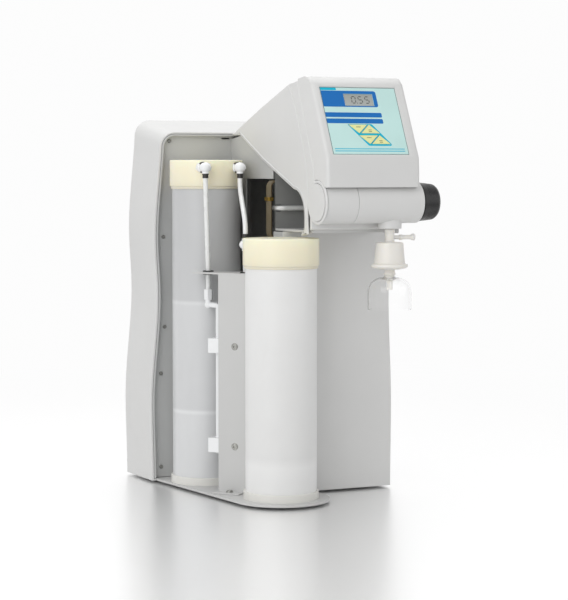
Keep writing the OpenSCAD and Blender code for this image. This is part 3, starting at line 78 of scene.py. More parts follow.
LEFT, BACK = -146.0, 195.0  # x of the housing's left side and y of its back
DECK = 6  # top of the base plate
# a pair of numbers is the distance right of the left side and in front of the back
REAR_CARTRIDGE, REAR_TOP = (69, 132), 440
FRONT_CARTRIDGE, FRONT_TOP = (103, 300), 340
OUTLET = (228, 360)
BARREL = (360, 386)  # in front of the back, and up
BARREL_RIGHT = 264.5
CAP_RADIUS = 49


def spot(right, forward, up):
    """The point at these distances right of the left side, in front of the back and up."""
    return Vector(((LEFT + right) * MM, (BACK - forward) * MM, up * MM))


def srgb(red, green, blue):
    """A colour of 8-bit values as the linear colour that shaders take."""
    return tuple(
        (v / 255 / 12.92) if v < 10 else ((v / 255 + 0.055) / 1.055) ** 2.4
        for v in (red, green, blue)
    )


def shade(colour, factor):
    """A colour made lighter or darker."""
    return tuple(min(1.0, v * factor) for v in colour)


# ---- edges of the mouldings ----

HOUSING_EDGES = (  # node, share of the edge rounding, segments, least angle, clamped
    ("rear_shell", 1.5, 3, 30, True),
    ("tower_cover", 0.6, 2, 30, True),
    ("neck_cover", 0.95, 3, 30, False),
    ("head_frame", 0.85, 3, 30, False),
    ("head_front", 0.5, 2, 50, False),
)
BARREL_EDGE = 0.7
BARREL_COVERS = (("barrel_cover", False), ("barrel_end_cap", True), ("barrel_body", False))


# ---- outlines of turned pieces: the (radius, height, rounding) of each corner ----

ARC_STEPS = 14
TUBE = 3.25  # radius of a tube's socket
COLLAR = ((6.85, 352.2), (15, 352.2, 0.9), (15, 363.4, 0.3), (6.85, 363.4))
KNOB_GAP = 1
KNOB_ROOT = (
    (4.02, 0), (6.9, 0, 0.3), (6.9, 21), (19.6, 21), (21.2, 0, 0.3), (23.6, 0, 0.6),
    (25.2, 1.2, 0.8),
)
KNOB_TIP = (
    (22.9, 21.6, 2.4), (20.6, 25, 1.6), (18.2, 25, 0.4), (17.8, 24.4, 0.3), (0, 24.4), (0, 21),
    (4.02, 21),
)
GRIP_START, GRIP_END, GRIP_RADIUS, GRIP_TAPER = 8.0, 20.0, 25.2, 0.11
CAPSULE = (
    (TUBE, 351.7), (6.4, 351.7, 0.5), (6.4, 346.4, 0.3), (5.9, 345.6, 0.3), (5.9, 335.6, 1.2),
    (17.3, 334.8, 2.2), (19.6, 308.8, 0.6), (20.6, 307.6, 0.4), (23.2, 306.8, 0.5),
    (23.5, 303.8, 0.8), (21.4, 302, 0.8), (15, 300.6, 2), (6.5, 299.8, 0.8), (6.5, 296, 0.3),
    (7.6, 295.4, 0.3), (7.6, 293.2, 0.3), (6.5, 292.6, 0.3), (6.5, 287.1, 0.8), (4, 286.6, 0.5),
    (3.9, 274.1, 0.6), (1.7, 274.1), (1.7, 339), (TUBE, 339),
)
VENT_HEIGHT = 341
VENT_STUB = ((1, 4), (2.5, 4), (2.5, 17.9, 0.2), (1, 17.9))
VENT_CAP = (
    (2.52, 14), (3.5, 14, 0.3), (3.5, 17.4, 0.4), (2.8, 18.2, 0.3), (2.8, 29.6, 0.8),
    (4.3, 32.4, 0.5), (4.5, 35, 0.5), (3.6, 35, 0.3), (2.2, 31), (0, 31), (0, 18), (2.52, 18),
)
BELL_RIM = ((28, 249, 0.5), (26.5, 249, 0.3))  # outside, inside
BELL_SHOULDERS = ((9.4, 271.4, 18.6), (9.4, 271.3, 17.1))  # centre and radius, outside and inside
BELL_NECK = ((7.4, 290, 0.3), (7.4, 291.9, 0.3), (6.55, 291.9, 0.2), (6.55, 288.4))
FLOOR_OUT, FLOOR_IN = ((0, DECK), (46, DECK, 2.5)), ((43, DECK + 3, 2), (0, DECK + 3))
RIM = ((46, -32.1, 0.3), (43, -32.1, 0.3))  # of a cartridge; heights from the cap's top
LID = (  # heights from the cap's top
    (0, 0), (38, 0, 0.5), (39, -0.8, 0.5), (45, -0.8, 0.5), (46, 0, 0.4), (CAP_RADIUS, 0, 1.4),
    (CAP_RADIUS, -34.6, 0.9), (47.6, -35, 0.3), (47.6, -38.4, 0.7), (46.06, -38.4, 0.2),
    (46.06, -31.9), (43, -31.9), (43, -12, 1), (0, -12),
)
FOOT_RING = ((46.06, DECK), (48.5, DECK), (48.5, DECK + 10, 1.4), (46.06, DECK + 10, 0.3))
BALL_WIDE, BALL_HIGH = 8, 6.8  # half the width and height of an elbow's body
BALL_SOCKET = ((4.8, -8, 0.3), (TUBE, -8))
COLLET = (
    (TUBE, 8.1), (4.4, 8.1, 0.3), (4.4, 9.4, 0.3), (3.9, 9.6), (3.9, 14, 0.5), (TUBE, 14)
)
SCREW_HEAD = (
    (4.9, 0, 0.2), (4.9, 0.8, 0.3), (4, 0.8), (4, 2.6, 1.3), (1.7, 2.6, 0.2), (1.3, 1.4), (0, 1.4)
)


# ---- other outlines and places ----

SILL = ((-143.3, 350.4), (-149, 352.6), (-149, 362.4), (-143.3, 368.4))  # y and z
SILL_LEFT, SILL_RIGHT = 125.6, 252
# cap, place of the ball, turn of its stub from the back, distance to the cap, tube on top
ELBOWS = (
    (REAR_CARTRIDGE, (44.3, 189.33, 430), 0, 15, False),
    (REAR_CARTRIDGE, (93.7, 189.33, 430), 0, 15, False),
    (FRONT_CARTRIDGE, (78.3, 242.67, 330), 180, 15, True),
    (FRONT_CARTRIDGE, (149.49, 263.68, 330), 128, 10, False),
)
CLIP_SECTION = ((5, 0), (7.3, 0), (7.3, 1.9), (5, 1.9))  # radius, height
CLIP_ARCS = ((UP, 40), (-UP, 27))  # way from the stub, half the arc's angle
BRACKET_OUT = Vector((-0.751, -0.66, 0))  # way out of the bracket's front
BRACKET_SCREWS = (  # x, y and z of the seat, way out, radius and length of the shank
    ((-82.7, -47.5, 197.5), BRACKET_OUT, 1.6, 5.8),
    ((-82.7, -47.5, 66.6), BRACKET_OUT, 1.6, 5.8),
    ((-92.2, -51.3, 8), UP, 2, 4.6),
)
SOCKET_BOX = (spot(159, 41, 45), spot(177, 22, 61))  # inside of the mains inlet
BLADES = ((161, 53), (168, 57), (175, 53))  # right and up of each blade's middle
BLADE_WIDE, BLADE_HIGH = 1.3, 2.8  # a little more than half a blade


# ---- the display's print, in its own frame ----

# x right, y up the face and z out of it, all from the recess's upper left corner
FACE_CORNER, FACE_LEAN = (135, 345.193, 531.628), 26.05
FACE = Matrix.Translation(spot(*FACE_CORNER)) @ Matrix.Rotation(
    math.radians(90 - FACE_LEAN), 4, "X"
)
PRINT_LOW, PRINT_TOP = -0.82, -0.76
KEY_TOP, READOUT_TOP = -0.5, -1.0
INK = 0.05  # thickness of the print on the keys and the readout
# boxes are left, low, right and high
READOUT = (32, -26, 72, -10)
WINDOW = (31.5, -26.5, 72.5, -9.5)
STRIPES = tuple((4, y - 1.1, 102, y) for y in (-86.4, -89.4))
# a dark ring along the overlay's edges, painted as the shadow of the gap round the recess
GAP_SHADOW_OUT, GAP_SHADOW_IN = (0.35, -94.65, 106.65, -0.35), (0.95, -94.1, 106.05, -0.95)
# bands are low, right, high and rounding, and start at the left side
BAND_LEFT = 1
HEADER, TAB = (-28, 78, -5.2, 3), (-4.6, 23, -1, 1)
BARS = tuple((y - 6.6, 80, y, 1.6) for y in (-36, -44.7))
KEY_FIELD = ((28.2, -52.2, 1), (62.8, -52.2, 1), (87.1, -82.6, 2), (52.5, -82.6, 2))
KEYS = ((0, 0, False), (0, 0, True), (1, 1, False), (1, 1, True))  # column, row, points up
KEY_WIDE, KEY_HIGH = 26, 12
KEY_START, KEY_STEP = (30, -53), (12, -15)
KEY_PAIR = 15.6  # from a key to the one beside it
KEY_INNER = 5.1  # radius of the circle that fits a key
KEY_HOLE = 0.25  # how much larger the hole round a key is
DIGITS = {"0": "abcdef", "5": "acdfg"}
DIGIT_PLACES = (("0", 41.5), ("5", 51), ("5", 60.5))
DIGIT_LOW, DIGIT_WIDE, DIGIT_HIGH, DIGIT_THICK = READOUT[1] + 3, 6.6, 10.4, 1.25
POINT = (49.1, DIGIT_LOW, 50.2, READOUT[1] + 4.1)
SEGMENTS = {  # ends of a seven-segment digit's strokes, as shares of its width and height
    "a": ((0.18, 0.94), (0.82, 0.94)),
    "b": ((0.9, 0.88), (0.9, 0.54)),
    "c": ((0.9, 0.46), (0.9, 0.12)),
    "d": ((0.18, 0.06), (0.82, 0.06)),
    "e": ((0.1, 0.46), (0.1, 0.12)),
    "f": ((0.1, 0.88), (0.1, 0.54)),
    "g": ((0.18, 0.5), (0.82, 0.5)),
}


# ---- stage; lengths are in metres ----

WHITE = 0.98  # brightness of the plain background
MIRROR, MIRROR_LIT = 0.9, 0.98  # share of the floor's reflection, and its brightness in the open
CONTACT, CONTACT_LIT = 0.1, 0.85  # share of the object's shadow, and the lit floor's brightness
FADE_START, FADE_END = 0.6, 1.6  # where the floor turns into background
FLOOR_RADIUS, FLOOR_GLOSS = 8, 0.3
CAMERA_PLACE, CAMERA_TILT, CAMERA_TURN = (-1.0758, -2.3699, 0.4279), 86.16, -24.6
LENS, SENSOR = 117, 36  # millimetres
MIDDLE = Vector((0, 0, 0.25))  # what the lamps aim at
LAMPS = {  # place and side of each square lamp
    "key": ((-1.6, -1.2, 1.1), 1.6),
    "top": ((0.0, 0.5, 2.0), 1.8),
    "fill": ((1.7, -1.5, 0.9), 1.6),
}


# ---- materials ----


class Recipe:
    """A material in the making: its shader, its Object coordinates and the nodes between them."""

    def __init__(self, name, colour, roughness, **sockets):
        self.material = bpy.data.materials.new(name)
        self.material.use_nodes = True
        self.tree = self.material.node_tree
        self.shader = self.tree.nodes["Principled BSDF"]
        self.colour = colour
        self.roughness = roughness
        sockets = {"Base Color": (*colour, 1), "Roughness": roughness, **sockets}
        for key, value in sockets.items():
            self.shader.inputs[key.replace("_", " ")].default_value = value
        self.place = self.add("ShaderNodeTexCoord").outputs["Object"]

    def add(self, kind, inputs=None, **settings):
        """A new node with values for its inputs."""
        node = self.tree.nodes.new(kind)
        for key, value in settings.items():
            setattr(node, key, value)
        for key, value in (inputs or {}).items():
            node.inputs[key].default_value = value
        return node

    def link(self, source, target):
        """Joins an output to an input."""
        self.tree.links.new(source, target)

    def stretched(self, scale):
        """The Object coordinates, scaled."""
        node = self.add("ShaderNodeMapping", {"Scale": scale})
        self.link(self.place, node.inputs["Vector"])
        return node.outputs["Vector"]

    def noise(self, scale, detail=2.0, stretch=None):
        """Noise from 0 to 1; scale is in cycles per metre."""
        node = self.add("ShaderNodeTexNoise", {"Scale": scale, "Detail": detail})
        self.link(self.stretched(stretch) if stretch else self.place, node.inputs["Vector"])
        return node.outputs["Fac"]

    def height(self, low, high, smooth=True):
        """0 at the low height and 1 at the high one, both in millimetres."""
        split = self.add("ShaderNodeSeparateXYZ")
        self.link(self.place, split.inputs["Vector"])
        return self.ranged(split.outputs["Z"], low * MM, high * MM, 0, 1, smooth)

    def ranged(self, value, low, high, to_low, to_high, smooth=True):
        """A value moved from one range to another."""
        numbers = {"From Min": low, "From Max": high, "To Min": to_low, "To Max": to_high}
        kind = "SMOOTHSTEP" if smooth else "LINEAR"
        node = self.add("ShaderNodeMapRange", numbers, interpolation_type=kind)
        self.link(value, node.inputs["Value"])
        return node.outputs["Result"]

    def ramp(self, value, stops):
        """A colour from a value, through stops of (position, colour)."""
        node = self.add("ShaderNodeValToRGB")
        elements = node.color_ramp.elements
        while len(elements) < len(stops):
            elements.new(0.5)
        for element, (position, colour) in zip(elements, stops):
            element.position = position
            element.color = (*colour, 1)
        self.link(value, node.inputs["Fac"])
        return node.outputs["Color"]

    def blend(self, value, first, second, kind="MIX"):
        """Two colours, each a tuple or an output, blended by a number or an output."""
        node = self.add("ShaderNodeMix", data_type="RGBA", blend_type=kind)
        colours = [s for s in node.inputs if s.type == "RGBA"]
        for socket, given in zip((node.inputs[0], *colours), (value, first, second)):
            if isinstance(given, float):
                socket.default_value = given
            elif isinstance(given, tuple):
                socket.default_value = (*given, 1)
            else:
                self.link(given, socket)
        return next(s for s in node.outputs if s.type == "RGBA")

    def paint(self, colour):
        """Gives the shader a patterned colour."""
        self.link(colour, self.shader.inputs["Base Color"])

    def mottle(self, scale, spread, base=None):
        """Lets the colour wander a little over the surface."""
        cloud = self.ranged(self.noise(scale, 3), 0.3, 0.7, 1 - spread, 1 + spread)
        grey = self.add("ShaderNodeCombineColor")
        for key in ("Red", "Green", "Blue"):
            self.link(cloud, grey.inputs[key])
        self.paint(self.blend(1.0, base or self.colour, grey.outputs["Color"], "MULTIPLY"))

    def dull(self, scale, spread, stretch=None):
        """Lets the roughness wander a little over the surface."""
        low, high = self.roughness - spread, self.roughness + spread
        value = self.ranged(self.noise(scale, 3, stretch), 0.3, 0.7, low, high)
        self.link(value, self.shader.inputs["Roughness"])

    def bump(self, value, depth, strength=0.5):
        """Depth is in millimetres."""
        node = self.add("ShaderNodeBump", {"Distance": depth * MM, "Strength": strength})
        self.link(value, node.inputs["Height"])
        self.link(node.outputs["Normal"], self.shader.inputs["Normal"])


def textured(name, colour, roughness, mottle, dull, bump, stretch=None, **sockets):
    """A material with (scale, spread) of its colour and of its roughness, and with a bump's
    (scale, depth, strength); a None leaves the roughness or the bump plain."""
    recipe = Recipe(name, colour, roughness, **sockets)
    recipe.mottle(*mottle)
    if dull:
        recipe.dull(*dull, stretch)
    if bump:
        scale, depth, strength = bump
        recipe.bump(recipe.noise(scale, 2, stretch), depth, strength)
    return recipe.material


def moulded(name, colour, roughness, grain=0.03):
    """Moulded plastic with a fine spark-eroded grain."""
    return textured(name, colour, roughness, (11, 0.012), (60, 0.04), (1500, grain, 0.35))


def powder_coat(name, colour, roughness):
    """Painted sheet with the orange-peel surface of powder coat."""
    return textured(name, colour, roughness, (7, 0.015), (35, 0.05), (520, 0.06, 0.3))


def metal(name, colour, roughness, grain=(40, 40, 400)):
    """Machined metal with fine drawn lines."""
    return textured(
        name, colour, roughness, (120, 0.05), (50, roughness * 0.35), (30, 0.01, 0.3), grain,
        Metallic=1.0,
    )


def printed_film(name, colour):
    """Printed polyester film, slightly glossy."""
    return textured(
        name, tuple(colour), 0.4, (24, 0.02), (80, 0.03), (900, 0.02, 0.3), Specular_IOR_Level=0.3
    )


def circuit_board(name, colour, roughness):
    """A lacquered board with blotches of copper under the lacquer."""
    return textured(name, colour, roughness, (90, 0.15), None, (400, 0.05, 0.4))


def translucent(name, colour, bands, roughness=0.38, **sockets):
    """Milky moulded plastic; bands are (height, factor of the colour) from the bottom up."""
    recipe = Recipe(name, colour, roughness, **sockets)
    low, high = bands[0][0], bands[-1][0]
    stops = [((z - low) / (high - low), shade(colour, factor)) for z, factor in bands]
    recipe.mottle(16, 0.012, recipe.ramp(recipe.height(low, high, smooth=False), stops))
    recipe.dull(45, 0.04)
    recipe.bump(recipe.noise(60, 2, (3, 3, 0.4)), 0.05, 0.3)
    return recipe.material


def milky(weight, scale, radius=(1, 1, 1)):
    """Shader settings for light that spreads inside a pale plastic; scale is in metres."""
    return {"Subsurface_Weight": weight, "Subsurface_Scale": scale, "Subsurface_Radius": radius}


FRONT_BANDS = ((6, 1.02), (50, 1.03), (62, 0.95), (220, 1), (300, 1.04))
REAR_BANDS = (
    (6, 1.08), (100, 1.05), (104, 1.2), (108, 0.98), (246, 1.02), (250, 1.12), (254, 0.9),
    (400, 0.84),
)
# the caps are lighter towards their top as a painted highlight on the rim, and darker towards their
# lower edge
CAP_HIGHLIGHT_BANDS = ((-39, 0.86), (-30, 0.95), (-12, 1), (0, 1.05))  # heights from the cap's top
FINISHES = {
    "black_plastic": (moulded, (40, 38, 36), 0.38),
    "black_rubber": (moulded, (38, 38, 38), 0.7, 0.08),
    "board_green": (circuit_board, (38, 92, 62), 0.4),
    "brass": (metal, (206, 170, 84), 0.3),
    "cast_metal": (metal, (150, 152, 155), 0.45),
    "clip_brown": (moulded, (66, 58, 46), 0.4),
    "coil_resin": (moulded, (58, 86, 128), 0.4),
    "connection_grey": (moulded, (88, 90, 94), 0.5),
    "hose_tan": (moulded, (104, 92, 68), 0.42),
    "machined_steel": (metal, (190, 190, 188), 0.28),
    "motor_paint": (powder_coat, (74, 78, 84), 0.45),
    "ring_white": (moulded, (228, 227, 222), 0.4),
    "screw_steel": (metal, (150, 150, 146), 0.34, (60, 60, 60)),
    "valve_ivory": (moulded, (226, 222, 208), 0.4),
    "zinc_sheet": (metal, (188, 190, 192), 0.36),
}
INTERNALS = {
    "pump_motor": "motor_paint", "pump_head": "cast_metal", "solenoid_valve": "coil_resin",
    "conductivity_cell": "valve_ivory", "power_supply": "zinc_sheet", "main_board": "board_green",
}
materials = {}


def finish(name, make, *args, **sockets):
    """The material of that name, made the first time that it is asked for."""
    if name not in materials:
        materials[name] = make(name, *args, **sockets)
    return materials[name]


def shared(name):
    """A material from the table of finishes."""
    make, colour, *rest = FINISHES[name]
    return finish(name, make, srgb(*colour), *rest)


def housing_plastic(context):
    """The plastic of the housing and the barrel."""
    colour = tuple(context.scene.water_system.housing.plastic)
    return finish("housing_plastic", moulded, colour, 0.42)


def fitting_plastic(context):
    """The glossy plastic of the fittings and the flow module."""
    return finish(
        "fitting_white", textured, tuple(context.scene.water_system.water.fitting), 0.24,
        (60, 0.012), (120, 0.03), (900, 0.015, 0.25), Coat_Weight=0.2, Coat_Roughness=0.12,
    )


# ---- pieces ----


def placed(name, data):
    """A new object in the scene."""
    made = bpy.data.objects.new(name, data)
    bpy.context.scene.collection.objects.link(made)
    return made


def piece(bm, name, material, replaced=(), body=CHASSIS, sharp=35):
    """A finished piece from a bmesh: smooth, with its material, body and the nodes it
    stands for."""
    bm.normal_update()
    mesh = bpy.data.meshes.new(name)
    bm.to_mesh(mesh)
    bm.free()
    mesh.materials.append(material)
    mesh.shade_smooth()
    mesh.set_sharp_from_angle(angle=math.radians(sharp))
    made = placed(name, mesh)
    made.modifiers.new("weighted_normals", "WEIGHTED_NORMAL").keep_sharp = True
    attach(made, body)
    if replaced:
        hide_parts(*replaced)
    return made


def copied(node):
    """A bmesh of a CAD node's mesh, its triangles joined at their corners."""
    bm = bmesh.new()
    bm.from_mesh(frame["nodes"][node].data)
    bmesh.ops.remove_doubles(bm, verts=bm.verts, dist=1e-6)
    return bm


def soften(bm, width, segments=2, crease=30, clamp=False):
    """Rounds the edges of a bmesh that are sharper than a crease in degrees."""
    least = math.radians(crease)
    edges = [e for e in bm.edges if e.is_manifold and e.calc_face_angle() > least]
    if edges:
        bmesh.ops.bevel(
            bm, geom=edges, offset=width * MM, offset_type="OFFSET", affect="EDGES",
            segments=segments, profile=0.5, clamp_overlap=clamp, material=-1,
        )


def dressed(node, material, slot, width=0.6, segments=2, crease=30, clamp=False, body=CHASSIS):
    """A CAD node's own form with its sharp edges rounded."""
    bm = copied(node)
    soften(bm, width, segments, crease, clamp)
    return piece(bm, "visual_" + node, material, (node,), body)


def painted(node, material):
    """Gives a carried-over CAD node a better material."""
    mesh = frame["nodes"][node].data
    mesh.materials.clear()
    mesh.materials.append(material)


def raised(outline, height):
    """An outline moved up."""
    return [(r, h + height, *rest) for r, h, *rest in outline]


def arc(x, z, wide, high, start, end):
    """Points on an oval about (x, z), between two angles in degrees."""
    angles = [math.radians(start + (end - start) * k / ARC_STEPS) for k in range(ARC_STEPS + 1)]
    return [(x + wide * math.cos(a), z + high * math.sin(a)) for a in angles]


def rounded(points, closed=True, steps=4):
    """An outline of (x, y, rounding) corners with its corners turned into arcs."""
    line = []
    for i, point in enumerate(points):
        here = Vector(point[:2])
        radius = point[2] if len(point) > 2 else 0
        if not radius or (not closed and i in (0, len(points) - 1)):
            line.append(here)
            continue
        before = Vector(points[i - 1][:2]) - here
        after = Vector(points[(i + 1) % len(points)][:2]) - here
        half = before.angle(after) / 2
        reach = min(radius / math.tan(half), before.length * 0.49, after.length * 0.49)
        a, b = before.normalized(), after.normalized()
        middle = (a + b).normalized() * reach / math.cos(half)
        centre = here + middle
        a, b = here + a * reach - centre, here + b * reach - centre
        sweep = math.pi - 2 * half
        for k in range(steps + 1):
            t = k / steps
            turn = a * math.sin((1 - t) * sweep) + b * math.sin(t * sweep)
            line.append(centre + turn / math.sin(sweep))
    return line


def outward(bm):
    """Turns all normals outward."""
    bmesh.ops.recalc_face_normals(bm, faces=bm.faces)


def turned(points, centre, direction=UP, steps=96, closed=True):
    """A bmesh turned from an outline of (radius, height, rounding) corners."""
    bm = bmesh.new()
    verts = [bm.verts.new((p[0] * MM, 0, p[1] * MM)) for p in rounded(points, closed)]
    ends = verts[1:] + verts[:1] if closed else verts[1:]
    edges = [bm.edges.new(pair) for pair in zip(verts, ends)]
    bmesh.ops.spin(
        bm, geom=verts + edges, cent=(0, 0, 0), axis=UP, angle=math.tau, steps=steps, use_merge=True
    )
    bmesh.ops.remove_doubles(bm, verts=bm.verts, dist=1e-7)
    outward(bm)
    turn = UP.rotation_difference(direction).to_matrix().to_4x4()
    bmesh.ops.transform(bm, matrix=Matrix.Translation(centre) @ turn, verts=bm.verts)
    return bm


def joined(*forms):
    """One bmesh from several, which are freed."""
    whole = forms[0]
    for form in forms[1:]:
        mesh = bpy.data.meshes.new("joined")
        form.to_mesh(mesh)
        form.free()
        whole.from_mesh(mesh)
        bpy.data.meshes.remove(mesh)
    return whole


def thickened(bm, faces, step):
    """Extrudes faces by a step, with all normals outward."""
    grown = bmesh.ops.extrude_face_region(bm, geom=faces)
    moved = [v for v in grown["geom"] if isinstance(v, bmesh.types.BMVert)]
    bmesh.ops.translate(bm, vec=step, verts=moved)
    outward(bm)


def flat_form(outline, holes=(), low=PRINT_LOW, high=PRINT_TOP):
    """A bmesh of a flat outline in the display's frame, between two heights."""
    bm = bmesh.new()
    edges = []
    for ring in (outline, *holes):
        verts = [bm.verts.new((x * MM, y * MM, low * MM)) for x, y in ring]
        edges += [bm.edges.new(pair) for pair in zip(verts, verts[1:] + verts[:1])]
    bmesh.ops.triangle_fill(bm, edges=edges, use_beauty=True, use_dissolve=True, normal=UP)
    thickened(bm, bm.faces[:], (0, 0, (high - low) * MM))
    bmesh.ops.transform(bm, matrix=FACE, verts=bm.verts)
    return bm


def corner_curve(points):
    """An outline of (x, y, rounding) corners as plain (x, y) points."""
    return [tuple(p) for p in rounded(points, steps=5)]


def rectangle(left, low, right, high):
    """The corners of a box."""
    return [(left, low), (right, low), (right, high), (left, high)]


def band(low, right, high, rounding):
    """A printed band from the left side, rounded at its right end."""
    return corner_curve(
        [(BAND_LEFT, low), (right, low, rounding), (right, high, rounding), (BAND_LEFT, high)]
    )


def key_outline(number, grow=0.0):
    """Corners of a key's triangle, grown outwards; as in the CAD source."""
    column, row, up = KEYS[number]
    left = KEY_START[0] + KEY_STEP[0] * column + (KEY_PAIR if up else 0)
    top, low, half = KEY_START[1] + KEY_STEP[1] * row, -KEY_HIGH, KEY_WIDE / 2
    if up:
        corners = ((0, low), (KEY_WIDE, low), (half, 0))
    else:
        corners = ((half, low), (KEY_WIDE, 0), (0, 0))
    points = [Vector((left + x, top + y)) for x, y in corners]
    middle = sum(points, Vector((0, 0))) / 3
    return [tuple(middle + (p - middle) * (1 + grow / KEY_INNER)) for p in points]


def digit_strokes(shape, left):
    """The strokes of a seven-segment digit as six-sided outlines."""
    for letter in DIGITS[shape]:
        a, b = (
            Vector((left + x * DIGIT_WIDE, DIGIT_LOW + y * DIGIT_HIGH)) for x, y in SEGMENTS[letter]
        )
        along = (b - a).normalized() * DIGIT_THICK / 2
        side = Vector((-along.y, along.x))
        corners = (a, a + along + side, b - along + side, b, b - along - side, a + along - side)
        yield [tuple(p) for p in corners]


# ---- settings ----


def colour_setting(name, description, default):
    """A colour that a user would change."""
    return FloatVectorProperty(
        name=name, description=description, subtype="COLOR", size=3, min=0, max=1, default=default
    )


def length_setting(name, description, default):
    """A length in metres that a user would change."""
    return FloatProperty(
        name=name, description=description, subtype="DISTANCE", unit="LENGTH", min=0,
        default=default,
    )


def light_setting(name, description, default):
    """A strength of the stage's light that a user would change."""
    return FloatProperty(name=name, description=description, min=0, default=default)


class HousingSettings(PropertyGroup):
    """Colours and edges of the mouldings and sheets."""

    plastic: colour_setting("Housing", "Colour of the moulded housing", srgb(220, 220, 219))
    tray: colour_setting("Tray", "Colour of the painted tray and walls", srgb(192, 193, 192))
    sheet: colour_setting("Sheets", "Colour of the off-white base and bracket", srgb(202, 202, 201))
    edge: length_setting("Edge rounding", "Rounding of the mouldings' edges", 0.0016)
    sheet_edge: length_setting("Sheet rounding", "Rounding of the sheets' edges", 0.0005)


class DisplaySettings(PropertyGroup):
    """Colours of the display's overlay."""

    ground: colour_setting("Ground", "Ground of the overlay", srgb(202, 236, 232))
    band: colour_setting("Bands", "Dark bands on the overlay", srgb(16, 110, 188))
    field: colour_setting("Field", "Field round the keys", srgb(0, 186, 216))
    key: colour_setting("Keys", "Membrane keys", srgb(240, 240, 172))
    glass: colour_setting("Readout", "Ground of the liquid crystal readout", srgb(168, 172, 168))


class KnobSettings(PropertyGroup):
    """Shape and colour of the dispensing knob."""

    colour: colour_setting("Colour", "Colour of the knob", srgb(14, 14, 15))
    rings: IntProperty(name="Rings", description="Grip rings round the knob", default=6, min=1)
    ring_depth: length_setting("Ring depth", "Depth of the grooves between rings", 0.0003)


class WaterPathSettings(PropertyGroup):
    """Colours of the cartridges, fittings and tubes."""

    cap: colour_setting("Caps", "Colour of the cartridge caps", srgb(255, 244, 217))
    front_body: colour_setting(
        "Front cartridge", "Colour of the front cartridge", srgb(241, 241, 240)
    )
    rear_body: colour_setting("Rear cartridge", "Colour of the rear cartridge", srgb(217, 218, 219))
    fitting: colour_setting("Fittings", "Colour of the push-fit elbows", srgb(244, 245, 246))
    tube: colour_setting("Tubes", "Colour of the water tubes", srgb(238, 239, 238))


class StageSettings(PropertyGroup):
    """Light on the object."""

    key: light_setting("Key light", "Power of the key light", 18.2)
    top: light_setting("Top light", "Power of the top light", 18)
    fill: light_setting("Fill light", "Power of the fill light", 5.8)
    ambient: light_setting("Ambient", "Strength of the plain world", 0.45)


class WaterSystemSettings(PropertyGroup):
    """All the settings of the water system."""

    housing: PointerProperty(type=HousingSettings)
    display: PointerProperty(type=DisplaySettings)
    knob: PointerProperty(type=KnobSettings)
    water: PointerProperty(type=WaterPathSettings)
    stage: PointerProperty(type=StageSettings)


# ---- operators ----


class WATER_OT_housing(Operator):
    """Rear shell, tower, neck and head"""

    bl_idname = "water.housing"
    bl_label = "Housing"

    def execute(self, context):
        width = context.scene.water_system.housing.edge / MM
        plastic = housing_plastic(context)
        for node, share, *edges in HOUSING_EDGES:
            dressed(node, plastic, "body_plastic", width * share, *edges)
        return {"FINISHED"}


class WATER_OT_sheets(Operator):
    """Tray, walls, base, bracket and feet"""

    bl_idname = "water.sheets"
    bl_label = "Sheet parts"

    def execute(self, context):
        values = context.scene.water_system.housing
        width = values.sheet_edge / MM
        tray = finish("tray_paint", powder_coat, tuple(values.tray), 0.48)
        white = finish("white_sheet", powder_coat, tuple(values.sheet), 0.45)
        # the inner wall takes the tray's colour at half brightness as painted shade of its place
        # behind the arch
        wall_shade = finish("inner_paint", powder_coat, shade(tuple(values.tray), 0.5), 0.5)
        for node, paint in (("chassis_tray", tray), ("partition_wall", tray), ("inner_wall", wall_shade)):
            dressed(node, paint, "tray_paint", width)
        for node in ("base_plate", "head_floor", "bracket"):
            dressed(node, white, "white_sheet", width)
        dressed("rubber_feet", shared("black_rubber"), "rubber", 0.5)
        return {"FINISHED"}


